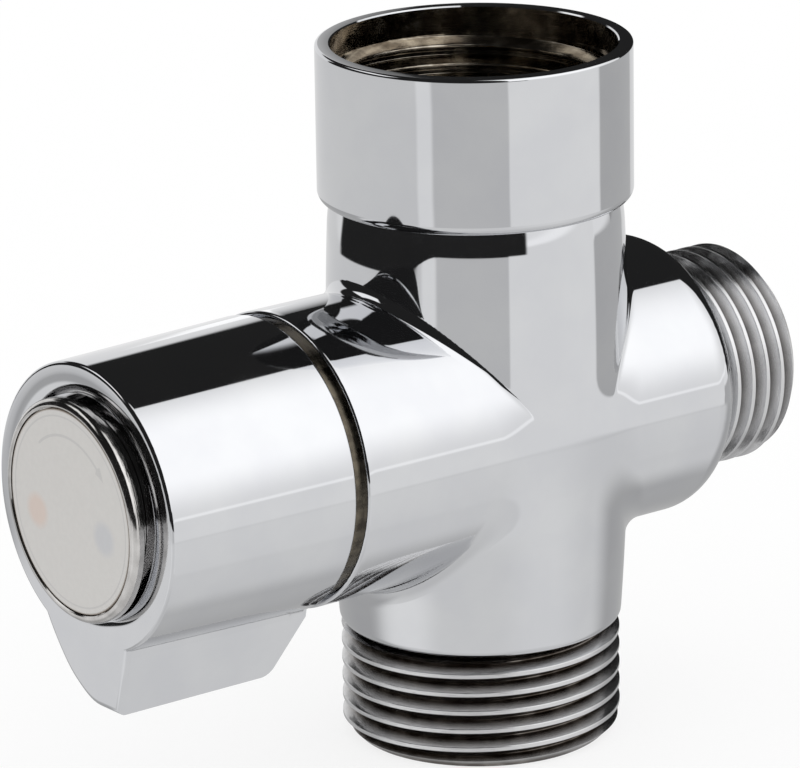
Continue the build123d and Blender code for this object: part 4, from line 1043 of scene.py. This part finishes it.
# The ground is an even, satin, warm white. The print is drawn from the distance and the angle round
# the cap's centre: the arrow's half width is read from a ramp over the angle, 0 up and + to the left.
ARROW_R, ARROW_HALF_WIDTH, ARROW_HEAD, PRINT_RING_R, PRINT_LINE = 7.1, 0.13, 0.55, 8.9, 0.08
ARROW_START, ARROW_NECK, ARROW_TIP, ARROW_STEP, LINE_INK = 40, -43, -54, 0.3, 0.3
MARK_ASIDE, MARK_BELOW, MARK_R, MARK_CORE_R, MARK_INK = 5.4, 1.2, 1.9, 1.1, 0.28
RIM_BRASS_AND_SHADE = (0.2, 0.05)
plate_print = worn("satin_printed_disc", ("C6C4C1", "C9C7C4"), (0.38, 0.5), 0.6, metallic=0.0)
tree, shader, ground = shader_of(plate_print)
flat, reach = distance_from(tree, (0, 1, 1), cap_spot)
axes = add_node(tree, "ShaderNodeSeparateXYZ", None, i0=flat.outputs[0])
angle = add_node(
    tree, "ShaderNodeMath", {"operation": "ARCTAN2"}, i0=axes.outputs["Y"], i1=axes.outputs["Z"]
)
turn = add_node(tree, "ShaderNodeMapRange", None, Value=angle.outputs[0], From_Min=-pi, From_Max=pi)
ramp = add_node(tree, "ShaderNodeValToRGB", None, i0=turn.outputs[0])
for end in (0, 1):
    ramp.color_ramp.elements[end].position = end
    ramp.color_ramp.elements[end].color = (0, 0, 0, 1)
for degree, half_width in (
    (ARROW_TIP, 0),
    (ARROW_NECK, ARROW_HEAD),
    (ARROW_NECK + ARROW_STEP, ARROW_HALF_WIDTH),
    (ARROW_START, ARROW_HALF_WIDTH),
    (ARROW_START + ARROW_STEP, 0),
):
    ramp.color_ramp.elements.new(degree / 360 + 0.5).color = (half_width, half_width, half_width, 1)
half_width = add_node(tree, "ShaderNodeMath", {"operation": "MULTIPLY"}, i0=ramp.outputs[0], i1=MM)
arrow = add_node(
    tree, "ShaderNodeMath", {"operation": "COMPARE"}, i0=reach, i1=ARROW_R * MM, i2=half_width.outputs[0]
)
ring = add_node(
    tree, "ShaderNodeMath", {"operation": "COMPARE"}, i0=reach, i1=PRINT_RING_R * MM, i2=PRINT_LINE * MM
)
lines = add_node(tree, "ShaderNodeMath", {"operation": "MAXIMUM"}, i0=arrow.outputs[0], i1=ring.outputs[0])
faint = add_node(tree, "ShaderNodeMath", {"operation": "MULTIPLY"}, i0=lines.outputs[0], i1=LINE_INK)
prints = [(faint.outputs[0], "9C9C9E")]
for side, colour in ((1, "D2A183"), (-1, "9AA3B5")):
    mark = (0, side * MARK_ASIDE * MM, -MARK_BELOW * MM)
    away = add_node(tree, "ShaderNodeVectorMath", {"operation": "DISTANCE"}, i0=flat.outputs[0], i1=mark)
    soft = add_node(
        tree,
        "ShaderNodeMapRange",
        None,
        Value=away.outputs["Value"],
        From_Min=MARK_R * MM,
        From_Max=MARK_CORE_R * MM,
        To_Max=MARK_INK,
    )
    prints.append((soft.outputs[0], colour))
# Brass and painted shade: the plate darkens to brown at its rim, for the brass showing in the shadowed gap round
# it
edge = add_node(
    tree,
    "ShaderNodeMapRange",
    None,
    Value=reach,
    From_Min=(PLATE_R - RIM_BRASS_AND_SHADE[0]) * MM,
    From_Max=(PLATE_R - RIM_BRASS_AND_SHADE[1]) * MM,
)
for share, colour in prints + [(edge.outputs[0], "7C7166")]:
    ground = add_node(
        tree, "ShaderNodeMix", {"data_type": "RGBA"}, i0=share, i6=ground, i7=linear(colour)
    ).outputs[2]
tree.links.new(ground, shader.inputs["Base Color"])
dress("printed_index_plate", plate, "handle", [plate_print], "index_plate")

# Bonnet and spindle: turned from brass bar and thinly nickelled. The bonnet is screwed into the left
# arm and holds the spindle, and its flange gives the eye a dull dark ring behind the handle. Its colour
# is darkened past the nickel's own dull tone with painted shade, for the flange's place in shadow.
turned_brass = worn(
    "turned_brass_thinly_nickelled", ("4A453D", "6F685B"), (0.2, 0.36), 1.2, relief=(0.01, 0.15, ALONG_CROSS)
)
finish(turned_brass, "bonnet", "spindle")

# Strainer, handle screw, its washer and the circlip: stainless steel, bright and a little scuffed.
# The strainer is pierced and domed sheet under the inlet's washer, the screw and washer hold the
# handle on the spindle, and the circlip is sprung into the spindle's groove.
stainless = worn("bright_stainless_steel", ("A9A8A6", "BDBCBA"), (0.16, 0.3), 1.5)
finish(stainless, "inlet_strainer", "handle_screw", "screw_washer", "spindle_circlip")

# Seals: black nitrile rubber, moulded smooth, dull with a faint bloom. Rings round the bonnet, spindle
# and cage, the inlet's flat washer, the plate behind the fixed disc and the gasket on the seat.
rubber = worn("black_nitrile_rubber", ("1A1A1B", "2A2A2B"), (0.45, 0.62), 1, metallic=0.0)
finish(rubber, "inlet_washer", "bonnet_seal", "cage_seal", "port_seal", "seat_gasket")
finish(rubber, "spindle_seal_front", "spindle_seal_rear")

# Cage and thrust washer: white acetal, moulded, slightly glossy. The cage is pushed into the chamber
# with the discs in it, and the washer lies between the bonnet and the spindle's flange.
acetal = worn("white_acetal_plastic", ("E3E2DC", "EDECE7"), (0.34, 0.45), 3, metallic=0.0)
finish(acetal, "thrust_washer", "cartridge_cage")

# Discs: alumina ceramic, fired and lapped flat to a soft sheen. The cage keeps the fixed one from
# turning, and the spindle's tang turns the moving one against it.
ceramic = worn("lapped_alumina_ceramic", ("E9E5DA", "F1EEE5"), (0.16, 0.24), 0.8, metallic=0.0)
finish(ceramic, "fixed_disc", "moving_disc")
